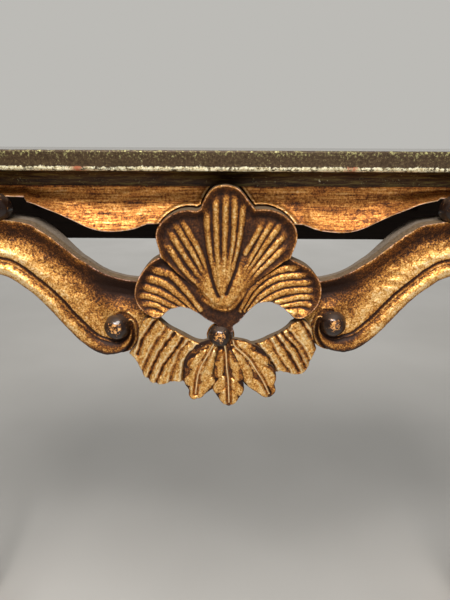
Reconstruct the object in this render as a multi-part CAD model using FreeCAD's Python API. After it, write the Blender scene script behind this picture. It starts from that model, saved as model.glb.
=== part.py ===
import FreeCAD, Part
import math
import os

from FreeCAD import Vector

# A slim carved and gilded pier table, in millimetres.
# +X runs to the right, +Y towards the wall and +Z up.  The origin lies on the floor, under the
# middle of the top board.  Every carved outline is given as (distance from the middle, drop below
# the underside of the top board), so the apron hangs from the board wherever that is.

# ---------------------------------------------------------------------------------------------
# Overall size
# ---------------------------------------------------------------------------------------------
table_width = 1000.0
table_depth = 300.0
table_height = 780.0
front_bow = 24.0             # how far the middle of the front stands out past its two corners

# ---------------------------------------------------------------------------------------------
# Top board: a square-edged nosing over a hollow (cove) moulding
# ---------------------------------------------------------------------------------------------
nosing_thickness = 13.0
nosing_upper_round = 1.6
nosing_lower_round = 2.6
cove_height = 11.0
cove_radius = 10.2
overhang = 22.0              # from the nosing's face back to the foot of the cove
back_overhang = 4.0          # of the top past the backs of the rear legs
corner_radius = 26.0

# ---------------------------------------------------------------------------------------------
# Rails and their tenons
# ---------------------------------------------------------------------------------------------
front_rail_thickness = 26.0
side_rail_thickness = 20.0
back_rail_height = 88.0
back_rail_thickness = 18.0
tenon_length = 16.0
tenon_thickness = 8.0
tenon_shoulder = 7.0         # left above and below a tenon
joint_clearance = 0.15       # all round a tenon, dowel or spigot
end_clearance = 1.0          # past the end of a tenon, dowel, spigot, screw or spike
root_overlap = 2.0           # by which a tenon runs into its own board before they become one
cutter_margin = 1.0          # by which a cutting shape runs on past what it cuts

# The front rail is carved as a shallow frieze: hollow on its face, with a thin lip that follows
# a wavy lower edge.
frieze_flare = 10.0          # how far the lip stands forward of the foot of the cove
frieze_hollow_reach = 0.22   # share of that flare reached halfway down the hollow
frieze_hollow_height = 0.42  # of that point above the lip, as a share of the hollow's height
lip_thickness = 1.6
frieze_dip = 30.7            # depth of the frieze at its two lowest places
frieze_middle = 25.0         # depth of the frieze behind the shell
frieze_end = 7.0             # depth of the frieze over the knees
dip_place = 81.0             # of the lowest places, from the middle
frieze_end_place = 158.0     # where the frieze has thinned to its end depth
frieze_middle_place = 47.0
frieze_steps = 14            # sections lofted between the middle and the thin end of the frieze
frieze_end_steps = 10        # and from there to a leg
saw_allowance = 2.0          # left on the back of the front rail's parts until they are one
plain_rail_start = 166.0     # where the plain part of the front rail begins, behind the arms
plain_rail_drop = 60.0
planted_gap = 0.3            # between the plain rail and the backs of the arms planted on it

# The side rails are carved in one piece with their own hollow face and edge bead.
side_rail_flare = 9.0
side_rail_end_drop = 92.0
side_rail_arch_drop = 56.0
side_rail_middle_drop = 66.0
side_rail_hollow_reach = 0.20    # as on the frieze
side_rail_hollow_height = 0.40
side_rail_bead = 11.0            # height of the bead along the lower edge
side_rail_bead_rise = 1.5        # its crown, outside the flared face
side_rail_groove = 2.0           # depth of the groove over it
side_rail_underside = 4.5        # how far its lower arris lies behind the flared face
side_rail_arch_place = 0.58      # of the arches, as a share of the way from the middle to a leg
side_rail_stations = 21          # sections lofted from leg to leg

# ---------------------------------------------------------------------------------------------
# Legs: square heads, S-curved cabriole legs below
# ---------------------------------------------------------------------------------------------
leg_head_width = 56.0
leg_head_depth = 46.0
leg_head_length = 112.0      # straight joint faces, from the top board downward
knee_corner_round = 0.30     # rounding of the outer front corner, as a share of the width
glide_height = 4.0
glide_radius = 9.0
glide_spike_radius = 1.5
glide_spike_length = 18.0
glide_edge_round = 2.0

# (height above the floor as a share of the leg, outer edge measured out from the leg head's inner
# face, width of the section, rounding of its other corners as a share of the width)
leg_sections = [
    (0.000, 33.0, 34.0, 0.30),
    (0.022, 36.5, 40.0, 0.30),
    (0.052, 31.0, 36.0, 0.30),
    (0.095, 20.0, 29.5, 0.30),
    (0.160, 12.0, 27.0, 0.30),
    (0.260, 9.5, 28.0, 0.30),
    (0.390, 12.5, 31.0, 0.30),
    (0.520, 20.0, 34.5, 0.30),
    (0.640, 31.5, 40.0, 0.28),
    (0.740, 45.0, 47.0, 0.20),
    (0.820, 58.0, 58.4, 0.06),
    (0.885, 65.5, 65.9, 0.04),
    (0.935, 67.0, 67.4, 0.04),
    (0.970, 63.0, 63.4, 0.04),
    (0.989, 57.5, 57.9, 0.04),
    (1.000, 51.0, 51.4, 0.04),
]
joint_trim = 0.4             # planed off the loft to give the head its flat joint faces
joint_plane = 9.0            # reach of that planing past a joint face
toe_radius = 13.0
toe_overlap = 0.28           # share of the toe's radius that stands past the sweep of the leg
toe_width = 32.0
toe_round = 4.0

# ---------------------------------------------------------------------------------------------
# Scroll arms: the pierced lower apron, one S-shaped board on each side of the shell
# ---------------------------------------------------------------------------------------------
arm_front = 7.0              # from the nosing's face back to the arm's upper front arris
arm_hollow = 7.5             # depth of the hollow behind that arris
arm_groove = 5.5             # depth of the groove beside the bead, behind the arris
arm_bead_rise = 2.5          # the bead's crown, in front of the arris
arm_bead_width = 12.6
arm_hollow_place = 0.52      # of the hollow's deepest point, as a share of the way to the groove
arm_crown_place = 0.55       # of the bead's crown, as a share of its width from the lower edge
arm_edge_setback = 1.0       # of the lower edge, behind the groove
arm_back_bevel = (1.0, 1.5)  # taken off the back at the upper and the lower edge
arm_thickness_outer = 23.0
arm_thickness_inner = 11.0

# The long run from the leg to the scroll, as (share of that way, drops of both edges)
arm_run_end = 190.0          # distance from the middle at which the run ends
arm_run = [
    (0.00, 10.0, 104.0),
    (0.06, 10.2, 88.0),
    (0.13, 10.5, 77.0),
    (0.22, 11.0, 70.0),
    (0.36, 11.5, 65.5),
    (0.52, 12.0, 63.0),
    (0.70, 12.7, 61.0),
    (0.86, 13.7, 59.5),
    (1.00, 15.0, 59.0),
]
# The scroll, as (upper edge, lower edge), each at (distance from the middle, drop)
arm_scroll = [
    ((175.5, 17.0), (174.5, 59.3)),
    ((161.0, 20.5), (162.0, 62.0)),
    ((146.0, 23.0), (153.5, 65.5)),
    ((134.0, 26.8), (147.5, 70.2)),
    ((121.5, 34.7), (140.5, 75.8)),
    ((110.0, 43.5), (134.0, 82.5)),
    ((98.0, 53.0), (127.0, 91.2)),
    ((87.3, 59.4), (119.3, 101.3)),
    ((76.0, 63.5), (110.5, 112.0)),
    ((64.0, 65.0), (99.5, 119.8)),
]
arm_inner_end = 48.0         # where the arm ends behind the shell
arm_web_cover = 1.0          # by which the web's face stands before the hollow's deepest point
web_upper_reach = 3.0        # of the web past the last section's upper edge
web_lower_step = (5.0, 7.0)  # in and up from that section's lower edge
web_volute_depth = 8.0       # of the web below the volute's middle
web_volute_step = (13.0, 4.0)    # in and up from the volute's middle
web_inner_margin = (0.3, 1.0)    # below that upper edge and above the ruffle's corner
arm_thinning = 1.5           # power by which the arm thins from the scroll's start to its end

# Volute at the arm's inner end, round a turned boss
volute_x = 80.0
volute_drop = 101.0
volute_start_angle = -40.0   # degrees, measured at the boss from +X, on the right-hand arm
volute_sweep = 250.0
volute_start_radius = 21.0
volute_end_radius = 8.4
volute_start_roll = 6.3
volute_end_roll = 2.6
volute_roll_rise = 2.0       # the roll's middle, in front of the bottom of the groove
volute_disc_margin = 4.0     # of the web, inside the start of the roll
volute_steps = 9
volute_spread = 0.8          # power by which the radius shrinks round the turn
boss_radius = 10.0
volute_boss_sink = 0.4       # the boss's crown, behind the nosing's face
boss_spigot_radius = 3.0
boss_spigot_length = 7.0
boss_clearing = 5.0          # room cleared before the carving over a boss's seat

# Knee volute with its own boss, on the arm's upper edge
knee_x = 157.0
knee_drop = 14.0
knee_volute_radius = 12.6
knee_boss_radius = 9.6
knee_step = 4.2              # the knee volute's face, in front of the frieze's lip
knee_back_margin = 4.0       # by which the knee volute is thinner than the arm
knee_notch_reach = 40.0      # how far inside the knee volute the notch under the lip starts

arm_dowel_radius = 4.0
arm_dowel_length = 26.0
arm_dowel_setback = 1.0      # behind the middle of the arm's thickness
arm_dowel_drops = (24.0, 52.0)

# ---------------------------------------------------------------------------------------------
# Shell, with five lobes
# ---------------------------------------------------------------------------------------------
shell_front = 1.6            # from the nosing's face back to the shell's raised rim
shell_rim_width = 2.0
shell_dish = 4.6             # depth of the dished lobes behind the rim
shell_thickness = 11.0       # of the shell over the arms, rim included
shell_tongue_drop = 46.0     # the part above this is let into the frieze
shell_tongue_back = 25.0     # from the nosing's face back to the tongue's end
shell_cove_gap = 0.6         # between the tongue and the foot of the cove
shell_pad_half_width = 44.0  # the pad on the back, which meets the plane of the arms' backs
shell_pad_bottom_drop = 79.0
shell_centre_top = (0.0, -3.3)
shell_centre_side = (12.8, 2.2)
shell_upper_notch = (19.9, 14.0)
shell_upper_shoulder = (30.0, 12.3)
shell_upper_crown = (40.0, 17.6)
shell_upper_side = (47.3, 28.5)
shell_lower_notch = (44.8, 46.5)
shell_lower_shoulder = (56.5, 53.0)
shell_lower_crown = (64.8, 63.0)
shell_lower_side = (65.6, 79.5)
shell_lower_tip = (55.5, 90.8)
shell_lower_cusp = (47.0, 88.5)
shell_eye_crown = (31.5, 81.6)
shell_eye_end = (14.5, 91.0)
shell_tail_half = 6.0
shell_tail_drop = 103.0
shell_hinge_drop = 74.0
shell_hinge_top_drop = 44.0
shell_hinge_radius = 6.0
shell_hinge_top_radius = 0.8
shell_hinge_tail_radius = 2.0
shell_hinge_fullness = (0.62, 0.85)  # of its sides over and under the widest place
rib_foot_radius = 0.9
rib_head_radius = 2.3

# ribs as (head, foot), each (distance from the middle, drop)
centre_ribs = [((0.0, 2.2), (0.0, 56.0)), ((6.2, 3.6), (2.6, 58.0)), ((12.2, 8.2), (5.0, 60.0))]
upper_ribs = [
    ((26.5, 22.0), (7.0, 65.0)),
    ((33.6, 22.5), (7.8, 67.5)),
    ((40.0, 27.5), (8.4, 70.0)),
    ((42.2, 36.0), (8.6, 73.0)),
]
lower_ribs = [
    ((49.5, 55.0), (15.0, 74.5)),
    ((56.5, 60.5), (17.0, 78.0)),
    ((60.0, 68.0), (21.0, 79.5)),
    ((60.4, 76.5), (27.0, 79.0)),
    ((56.5, 84.0), (35.0, 79.5)),
]

# Board glued across the backs of the shell and the two arms, which ties them together
backing_half_width = 60.0
backing_top_drop = 54.0
backing_bottom_drop = 81.0
backing_thickness = 9.0
backing_corner_radius = 10.0

# ---------------------------------------------------------------------------------------------
# Fluted ruffles, leaf spray and centre boss below the shell
# ---------------------------------------------------------------------------------------------
ruffle_front = 5.0           # from the nosing's face back to the ruffle's ground
ruffle_thickness = 11.0
ruffle_eye_corner = (52.0, 92.5)
ruffle_eye_low = (40.0, 102.8)
ruffle_eye_inner = (25.0, 110.5)
ruffle_top_inner = (0.0, 114.5)
ruffle_outer_top = (70.0, 100.0)
ruffle_outer_low = (71.0, 117.5)
ruffle_scallops = [
    ((64.8, 123.0), (63.2, 130.5)),
    ((61.5, 138.0), (53.5, 140.2)),
    ((47.5, 140.6), (42.5, 137.4)),
    ((38.0, 139.6), (31.0, 138.5)),
]
ruffle_bottom_inner = (0.0, 134.0)
flute_count = 6
flute_radius = 3.2
flute_head_radius = 2.2
flute_edge = 0.5             # flat margin between the flutes and the ruffle's outline
flute_lean = 26.0            # degrees from upright, leaning outward at the foot
flute_pitch = 6.3
flute_outer_foot = 68.5      # distance of the outermost flute's foot from the middle
flute_head_drop = 92.0
flute_foot_drop = 146.0
flute_inner_end = 30.0       # the flutes stop here, behind the leaves

leaf_clearance = 0.4         # between a leaf's edge and the flutes beside it
leaf_front = 0.8             # from the nosing's face back to the crown of a leaf
leaf_sink = 0.7              # by which each outer leaf lies behind the one inside it
leaf_edge = 4.0              # thickness of a leaf where the crown starts
leaf_crown_radius = 17.0
midrib_radius = 1.1
midrib_tip = 0.4             # its radius at the leaf's tip, as a share of that
midrib_sink = 0.2            # of its axis, behind the crown
centre_leaf_root = (0.0, 110.0)
centre_leaf_tip = (0.0, 162.0)
centre_leaf_width = 27.0
side_leaf_root = (6.0, 108.0)
side_leaf_tip = (32.5, 156.0)
side_leaf_width = 23.0
outer_leaf_root = (9.0, 107.5)
outer_leaf_tip = (35.5, 127.0)
outer_leaf_width = 13.0
leaf_lobes = 3
leaf_root_share = 0.12       # half the root's breadth, as a share of the width
leaf_swell_start = 0.20      # the leaf's breadth follows a sine from this share of a half turn
leaf_swell_run = 0.62        # on through this one
leaf_lobe_crown = 0.42       # of a lobe's fullest point before its end, as a share of the lobe
leaf_pinch = 0.84            # breadth between two lobes, as a share of the sine there
centre_boss_drop = 107.6
centre_boss_sink = 0.2       # the boss's crown, behind the nosing's face
centre_boss_margin = 0.6     # bed cut round the centre boss through the carving's edges

# ---------------------------------------------------------------------------------------------
# Glue blocks and screws under the top
# ---------------------------------------------------------------------------------------------
block_length = 60.0
block_size = 20.0
block_chamfer = 0.65         # share of a block's size taken off its free corner
block_places_along = (0.28, 0.76)   # on the long rails, as shares of the way to a leg
screw_radius = 2.0
screw_head_radius = 4.0
screw_head_height = 2.5
screw_head_depth = 0.6       # of the head below the top board, as a share of a block's size
screw_bite = 14.0            # length of screw in the top board

tolerance = 0.01             # for telling which edges lie in a plane

# ---------------------------------------------------------------------------------------------
# Places worked out from the sizes above
# ---------------------------------------------------------------------------------------------
half_width = table_width / 2.0
half_depth = table_depth / 2.0
under_top = table_height - nosing_thickness - cove_height
bow_radius = (half_width ** 2 + front_bow ** 2) / (2.0 * front_bow)
side_foot = half_width - overhang            # foot of the cove on the two sides
leg_inner = side_foot - leg_head_width
leg_back = half_depth - back_overhang


def bow(x):
    """How far the bowed front lies behind its middle, at the distance x from the middle."""
    return bow_radius - math.sqrt(bow_radius ** 2 - x ** 2)


def front(setback, x=0.0):
    """Y of a surface that lies setback behind the nosing's face, following the bow."""
    return -half_depth + setback + bow(x)


def spot(place, y):
    """The 3-D point of a carved outline's (distance, drop) pair at the depth y."""
    return Vector(place[0], y, under_top - place[1])


leg_front = front(overhang, side_foot)       # face of the front leg heads
front_leg_back = leg_front + leg_head_depth
rear_leg_front = leg_back - leg_head_depth
plain_rail_setback = arm_front + arm_thickness_outer + planted_gap
plain_rail_thickness = overhang + front_rail_thickness - plain_rail_setback
front_tenon_y = front(plain_rail_setback + plain_rail_thickness / 2.0, leg_inner)
knee_seat_y = front(overhang - frieze_flare - knee_step, knee_x)
glued_back_y = front(arm_front + arm_thickness_inner, volute_x)  # of the arms and the shell's pad


# ---------------------------------------------------------------------------------------------
# Helpers
# ---------------------------------------------------------------------------------------------
def box(x0, x1, y0, y1, z0, z1):
    return Part.makeBox(x1 - x0, y1 - y0, z1 - z0, Vector(x0, y0, z0))


def line(a, b):
    return Part.LineSegment(a, b).toShape()


def arc(a, b, c):
    return Part.Arc(a, b, c).toShape()


def mirrored(shape):
    """The left-hand twin of a right-hand piece."""
    return shape.mirror(Vector(0, 0, 0), Vector(1, 0, 0))


def plate(edges, thickness):
    """A flat outline in an X-Z plane, thickened towards the wall."""
    return Part.Face(Part.Wire(edges)).extrude(Vector(0, thickness, 0))


def joined(first, others):
    return first.multiFuse(others).removeSplitter()


def one_solid(shape):
    """The solid of a shape that came out of a boolean as a compound with one solid in it."""
    return max(shape.Solids, key=lambda solid: solid.Volume)


def rod_y(x, z, y0, y1, radius):
    return Part.makeCylinder(radius, y1 - y0, Vector(x, y0, z), Vector(0, 1, 0))


def rod_x(y, z, x0, x1, radius):
    return Part.makeCylinder(radius, x1 - x0, Vector(x0, y, z), Vector(1, 0, 0))


# ---------------------------------------------------------------------------------------------
# Top board
# ---------------------------------------------------------------------------------------------
def top_outline(inset, back_inset, radius, z):
    """Plan of the top, bowed in front, drawn in by inset, with rounded front corners."""
    side = half_width - inset
    y_corner = front(inset, side)
    corner_left = Vector(-side, y_corner, z)
    corner_right = Vector(side, y_corner, z)
    middle = Vector(0, front(inset), z)
    quarter = side / 2.0
    back = half_depth - back_inset
    edges = [
        arc(corner_left, Vector(-quarter, front(inset, quarter), z), middle),
        arc(middle, Vector(quarter, front(inset, quarter), z), corner_right),
        line(corner_right, Vector(side, back, z)),
        line(Vector(side, back, z), Vector(-side, back, z)),
        line(Vector(-side, back, z), corner_left),
    ]
    slab = Part.Face(Part.Wire(edges)).extrude(Vector(0, 0, 1))
    uprights = [edge for edge in slab.Edges
                if abs(edge.Vertexes[0].Z - edge.Vertexes[-1].Z) > tolerance
                and edge.Vertexes[0].Y < 0
                and abs(edge.Vertexes[0].X) > quarter]
    slab = slab.makeFillet(radius, uprights)
    floor = [face for face in slab.Faces if abs(face.CenterOfMass.z - z) < tolerance]
    return floor[0]


def edges_at(shape, z, y_limit):
    """Edges that lie level at the height z and in front of y_limit."""
    return [edge for edge in shape.Edges
            if all(abs(v.Z - z) < tolerance for v in edge.Vertexes)
            and abs(edge.BoundBox.ZLength) < tolerance
            and edge.BoundBox.YMin < y_limit]


def make_top_board():
    nosing = top_outline(0.0, 0.0, corner_radius, under_top + cove_height)
    nosing = nosing.extrude(Vector(0, 0, nosing_thickness))
    back_line = half_depth - cutter_margin
    nosing = nosing.makeFillet(nosing_upper_round, edges_at(nosing, table_height, back_line))
    nosing = nosing.makeFillet(
        nosing_lower_round, edges_at(nosing, under_top + cove_height, back_line))
    core = top_outline(overhang, 0.0, corner_radius - overhang, under_top)
    core = core.extrude(Vector(0, 0, cove_height + nosing_thickness / 2.0))
    board = nosing.fuse(core).removeSplitter()
    soffit = [edge for edge in board.Edges
              if all(abs(v.Z - under_top - cove_height) < tolerance for v in edge.Vertexes)
              and edge.BoundBox.XMax < side_foot + cutter_margin
              and edge.BoundBox.XMin > -side_foot - cutter_margin
              and edge.BoundBox.YMin > front(overhang) - cutter_margin
              and edge.BoundBox.YMin < back_line]
    return board.makeFillet(cove_radius, soffit)


# ---------------------------------------------------------------------------------------------
# Legs
# ---------------------------------------------------------------------------------------------
def rounded_rectangle(x0, x1, y0, y1, z, outer_round, other_round):
    """A level wire of four sides and four corner arcs; outer_round is for the corner (x1, y0)."""
    near = 1.0 - math.sqrt(0.5)
    r = outer_round
    q = other_round
    a = [Vector(x0 + q, y0, z), Vector(x1 - r, y0, z)]
    b = [Vector(x1, y0 + r, z), Vector(x1, y1 - q, z)]
    c = [Vector(x1 - q, y1, z), Vector(x0 + q, y1, z)]
    d = [Vector(x0, y1 - q, z), Vector(x0, y0 + q, z)]
    return Part.Wire([
        line(a[0], a[1]),
        arc(a[1], Vector(x1 - r * near, y0 + r * near, z), b[0]),
        line(b[0], b[1]),
        arc(b[1], Vector(x1 - q * near, y1 - q * near, z), c[0]),
        line(c[0], c[1]),
        arc(c[1], Vector(x0 + q * near, y1 - q * near, z), d[0]),
        line(d[0], d[1]),
        arc(d[1], Vector(x0 + q * near, y0 + q * near, z), a[0]),
    ])


def leg_height(share):
    return glide_height + share * (under_top - glide_height)


def cabriole(reach, outer_share):
    """Right-hand leg as a loft; reach gives a section's front and back from its outer edge."""
    wires = []
    for share, outer, width, others in leg_sections:
        x1 = leg_inner + outer
        y0, y1 = reach(outer, width)
        outer_round = max(outer_share, others) * width
        wires.append(rounded_rectangle(
            x1 - width, x1, y0, y1, leg_height(share), outer_round, others * width))
    return Part.makeLoft(wires, True, False)


def front_leg_reach(outer, width):
    y0 = front_leg_back - outer
    return y0, y0 + width


def rear_leg_reach(outer, width):
    return leg_back - min(width, leg_head_depth + joint_trim), leg_back


def toe(x, y, turn):
    """A small roll across the foot, square to the direction in which the leg sweeps out."""
    roll = Part.makeCylinder(toe_radius, toe_width, Vector(0, -toe_width / 2.0, 0), Vector(0, 1, 0))
    rims = [edge for edge in roll.Edges if edge.Curve.TypeId.endswith("Circle")]
    roll = roll.makeFillet(toe_round, rims)
    roll.rotate(Vector(0, 0, 0), Vector(0, 0, 1), turn)
    roll.translate(Vector(x, y, glide_height + toe_radius))
    return roll


def flat_joint_faces(leg, y_joint, y_past):
    """Plane the leg head where an apron board and a side rail butt against it."""
    low = under_top - leg_head_length
    high = under_top + cutter_margin
    y0, y1 = sorted((y_joint, y_past))
    inside = leg_inner - joint_plane
    leg = leg.cut(box(inside, leg_inner, -half_depth, half_depth, low, high))
    return one_solid(leg.cut(box(inside, half_width, y0, y1, low, high)))


def make_front_leg():
    reach = leg_sections[1][1] - toe_radius * (1.0 - toe_overlap)
    foot = toe(leg_inner + reach, front_leg_back - reach, -45.0)
    leg = joined(cabriole(front_leg_reach, knee_corner_round), [foot])
    return flat_joint_faces(leg, front_leg_back, front_leg_back + joint_plane)


def make_rear_leg():
    reach = leg_sections[1][1] - toe_radius * (1.0 - toe_overlap)
    foot = toe(leg_inner + reach, leg_back - leg_sections[1][2] / 2.0, 0.0)
    leg = joined(cabriole(rear_leg_reach, 0.0), [foot])
    return flat_joint_faces(leg, rear_leg_front, rear_leg_front - joint_plane)


# ---------------------------------------------------------------------------------------------
# Rails
# ---------------------------------------------------------------------------------------------
def ease(t):
    """Smooth change from 1 to 0 as t goes from 0 to 1."""
    return (1.0 + math.cos(math.pi * min(max(t, 0.0), 1.0))) / 2.0


def frieze_drop(x):
    """Depth of the frieze below the top board at the distance x from the middle."""
    x = abs(x)
    if x < dip_place:
        share = ease((dip_place - x) / (dip_place - frieze_middle_place))
        return frieze_middle + (frieze_dip - frieze_middle) * share
    share = ease((x - dip_place) / (frieze_end_place - dip_place))
    return frieze_end + (frieze_dip - frieze_end) * share


def frieze_section(x):
    y_top = front(overhang, x)
    y_lip = front(overhang - frieze_flare, x)
    y_back = front(overhang + front_rail_thickness + saw_allowance, x)
    z_low = under_top - frieze_drop(x)
    z_lip = z_low + lip_thickness
    top_front = Vector(x, y_top, under_top)
    hollow = Vector(x, y_top - frieze_hollow_reach * frieze_flare,
                    z_lip + frieze_hollow_height * (under_top - z_lip))
    lip = Vector(x, y_lip, z_lip)
    lip_low = Vector(x, y_lip, z_low)
    back_low = Vector(x, y_back, z_low)
    back_top = Vector(x, y_back, under_top)
    return Part.Wire([
        arc(top_front, hollow, lip),
        line(lip, lip_low),
        line(lip_low, back_low),
        line(back_low, back_top),
        line(back_top, top_front),
    ])


def bowed_board(x0, x1, setback, thickness, drop):
    """A plain board between x0 and x1 that follows the bowed front, hung from the top board."""
    z = under_top - drop
    half_way = (x0 + x1) / 2.0
    back = setback + thickness
    face = Part.Face(Part.Wire([
        arc(Vector(x0, front(setback, x0), z), Vector(half_way, front(setback, half_way), z),
            Vector(x1, front(setback, x1), z)),
        line(Vector(x1, front(setback, x1), z), Vector(x1, front(back, x1), z)),
        arc(Vector(x1, front(back, x1), z), Vector(half_way, front(back, half_way), z),
            Vector(x0, front(back, x0), z)),
        line(Vector(x0, front(back, x0), z), Vector(x0, front(setback, x0), z)),
    ]))
    return face.extrude(Vector(0, 0, drop))


def make_front_rail():
    places = [frieze_end_place * i / frieze_steps for i in range(frieze_steps)]
    end_run = leg_inner - frieze_end_place
    places += [frieze_end_place + end_run * i / frieze_end_steps for i in range(frieze_end_steps + 1)]
    places = [-x for x in reversed(places[1:])] + places
    rail = Part.makeLoft([frieze_section(x) for x in places], True, False)
    plain = bowed_board(plain_rail_start, leg_inner, plain_rail_setback,
                        plain_rail_thickness + 2.0 * saw_allowance, plain_rail_drop)
    rail = joined(rail, [plain, mirrored(plain)])
    end = leg_inner + cutter_margin
    waste = bowed_board(-end, end, overhang + front_rail_thickness,
                        front_rail_thickness, plain_rail_drop + 2.0 * cutter_margin)
    waste.translate(Vector(0, 0, cutter_margin))
    rail = one_solid(rail.cut(waste))
    tenon = box(leg_inner - root_overlap, leg_inner + tenon_length,
                front_tenon_y - tenon_thickness / 2.0, front_tenon_y + tenon_thickness / 2.0,
                under_top - plain_rail_drop + tenon_shoulder, under_top - tenon_shoulder)
    return one_solid(joined(rail, [tenon, mirrored(tenon)]))


def make_back_rail():
    y0 = leg_back - back_rail_thickness
    low = under_top - back_rail_height
    board = box(-leg_inner, leg_inner, y0, leg_back, low, under_top)
    middle = (y0 + leg_back) / 2.0
    tenon = box(leg_inner - root_overlap, leg_inner + tenon_length,
                middle - tenon_thickness / 2.0, middle + tenon_thickness / 2.0,
                low + tenon_shoulder, under_top - tenon_shoulder)
    return one_solid(joined(board, [tenon, mirrored(tenon)]))


side_middle = (front_leg_back + rear_leg_front) / 2.0
side_half = (rear_leg_front - front_leg_back) / 2.0


def side_rail_drop(offset):
    """Depth of a side rail: low at both legs, arched between, with a gentle drop in the middle."""
    t = abs(offset) / side_half
    if t < side_rail_arch_place:
        swell = side_rail_middle_drop - side_rail_arch_drop
        return side_rail_arch_drop + swell * ease(t / side_rail_arch_place)
    share = ease((t - side_rail_arch_place) / (1.0 - side_rail_arch_place))
    return side_rail_end_drop - (side_rail_end_drop - side_rail_arch_drop) * share


def side_rail_section(offset):
    """Section of the right-hand rail at a distance along it from its middle."""
    y = side_middle + offset
    x_top = side_foot
    x_lip = side_foot + side_rail_flare
    x_back = side_foot - side_rail_thickness
    z_low = under_top - side_rail_drop(offset)
    z_groove = z_low + side_rail_bead
    top_out = Vector(x_top, y, under_top)
    hollow = Vector(x_top + side_rail_hollow_reach * side_rail_flare, y,
                    z_groove + side_rail_hollow_height * (under_top - z_groove))
    groove = Vector(x_lip - side_rail_groove, y, z_groove)
    crown = Vector(x_lip + side_rail_bead_rise, y, z_low + side_rail_bead / 2.0)
    low_out = Vector(x_lip - side_rail_underside, y, z_low)
    return Part.Wire([
        arc(top_out, hollow, groove),
        arc(groove, crown, low_out),
        line(low_out, Vector(x_back, y, z_low)),
        line(Vector(x_back, y, z_low), Vector(x_back, y, under_top)),
        line(Vector(x_back, y, under_top), top_out),
    ])


def make_side_rail():
    wires = []
    for i in range(side_rail_stations):
        offset = -side_half + 2.0 * side_half * i / (side_rail_stations - 1)
        wires.append(side_rail_section(offset))
    rail = Part.makeLoft(wires, True, False)
    low = under_top - side_rail_end_drop
    middle = side_foot - side_rail_thickness / 2.0
    x0 = middle - tenon_thickness / 2.0
    x1 = middle + tenon_thickness / 2.0
    tenon_low = low + tenon_shoulder
    tenon_top = under_top - tenon_shoulder
    tenon_front = box(x0, x1, front_leg_back - tenon_length, front_leg_back + root_overlap,
                      tenon_low, tenon_top)
    tenon_rear = box(x0, x1, rear_leg_front - root_overlap, rear_leg_front + tenon_length,
                     tenon_low, tenon_top)
    return one_solid(joined(rail, [tenon_front, tenon_rear]))


# ---------------------------------------------------------------------------------------------
# Scroll arms
# ---------------------------------------------------------------------------------------------
def arm_section(upper, lower, share):
    """Closed section across the arm; share runs from 0 at the leg to 1 at the volute."""
    length = math.hypot(lower[0] - upper[0], lower[1] - upper[1])
    step = ((lower[0] - upper[0]) / length, (lower[1] - upper[1]) / length)

    def on(distance, y):
        return spot((upper[0] + step[0] * distance, upper[1] + step[1] * distance), y)

    x_mid = (upper[0] + lower[0]) / 2.0
    y_arris = front(arm_front, x_mid)
    y_hollow = y_arris + arm_hollow
    y_groove = y_arris + arm_groove
    y_crown = y_arris - arm_bead_rise
    thickness = arm_thickness_outer + (arm_thickness_inner - arm_thickness_outer) * share
    y_back = y_arris + thickness
    groove_at = length - arm_bead_width
    arris = on(0.0, y_arris)
    hollow = on(groove_at * arm_hollow_place, y_hollow)
    groove = on(groove_at, y_groove)
    crown = on(length - arm_bead_width * arm_crown_place, y_crown)
    edge = on(length, y_groove + arm_edge_setback)
    back_low = on(length - arm_back_bevel[1], y_back)
    back_top = on(arm_back_bevel[0], y_back)
    return Part.Wire([
        arc(arris, hollow, groove),
        arc(groove, crown, edge),
        line(edge, back_low),
        line(back_low, back_top),
        line(back_top, arris),
    ])


def volute_point(share):
    """Centre of the volute's roll and its radius, share running from 0 to 1 round the boss."""
    angle = math.radians(volute_start_angle - volute_sweep * share)
    shrink = (volute_end_radius - volute_start_radius) * share ** volute_spread
    radius = volute_start_radius + shrink
    roll = volute_start_roll + (volute_end_roll - volute_start_roll) * share
    centre = (volute_x + radius * math.cos(angle), volute_drop - radius * math.sin(angle))
    return centre, roll, angle


def volute_roll():
    """The bead of the arm carried on round the boss as a tapering spiral roll."""
    wires = []
    y = front(arm_front + arm_groove - volute_roll_rise, volute_x)
    for i in range(volute_steps):
        centre, roll, angle = volute_point(i / (volute_steps - 1.0))
        tangent = Vector(-math.sin(angle), 0, math.cos(angle))
        circle = Part.Circle(spot(centre, y), tangent, roll)
        circle.XAxis = Vector(0, -1, 0)
        wires.append(Part.Wire(circle.toShape()))
    return Part.makeLoft(wires, True, False)


def arm_stations():
    """Every section's (upper edge, lower edge, how far along the scroll it is, from 0 to 1)."""
    stations = []
    for share, upper_drop, lower_drop in arm_run:
        x = leg_inner + (arm_run_end - leg_inner) * share
        stations.append(((x, upper_drop), (x, lower_drop), 0.0))
    for i, (upper, lower) in enumerate(arm_scroll):
        stations.append((upper, lower, (i + 1.0) / len(arm_scroll)))
    return stations


def arm_tongue(y):
    """Outline of the thin web by which the arm runs on behind the shell and the ruffle."""
    upper, lower = arm_scroll[-1]
    corners = [
        (upper[0] + web_upper_reach, upper[1]),
        (lower[0] - web_lower_step[0], lower[1] - web_lower_step[1]),
        (volute_x, volute_drop + web_volute_depth),
        (volute_x - web_volute_step[0], volute_drop - web_volute_step[1]),
        (arm_inner_end, ruffle_eye_corner[1] - web_inner_margin[1]),
        (arm_inner_end, upper[1] + web_inner_margin[0]),
    ]
    points = [spot(corner, y) for corner in corners]
    return [line(a, b) for a, b in zip(points, points[1:] + points[:1])]


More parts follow.
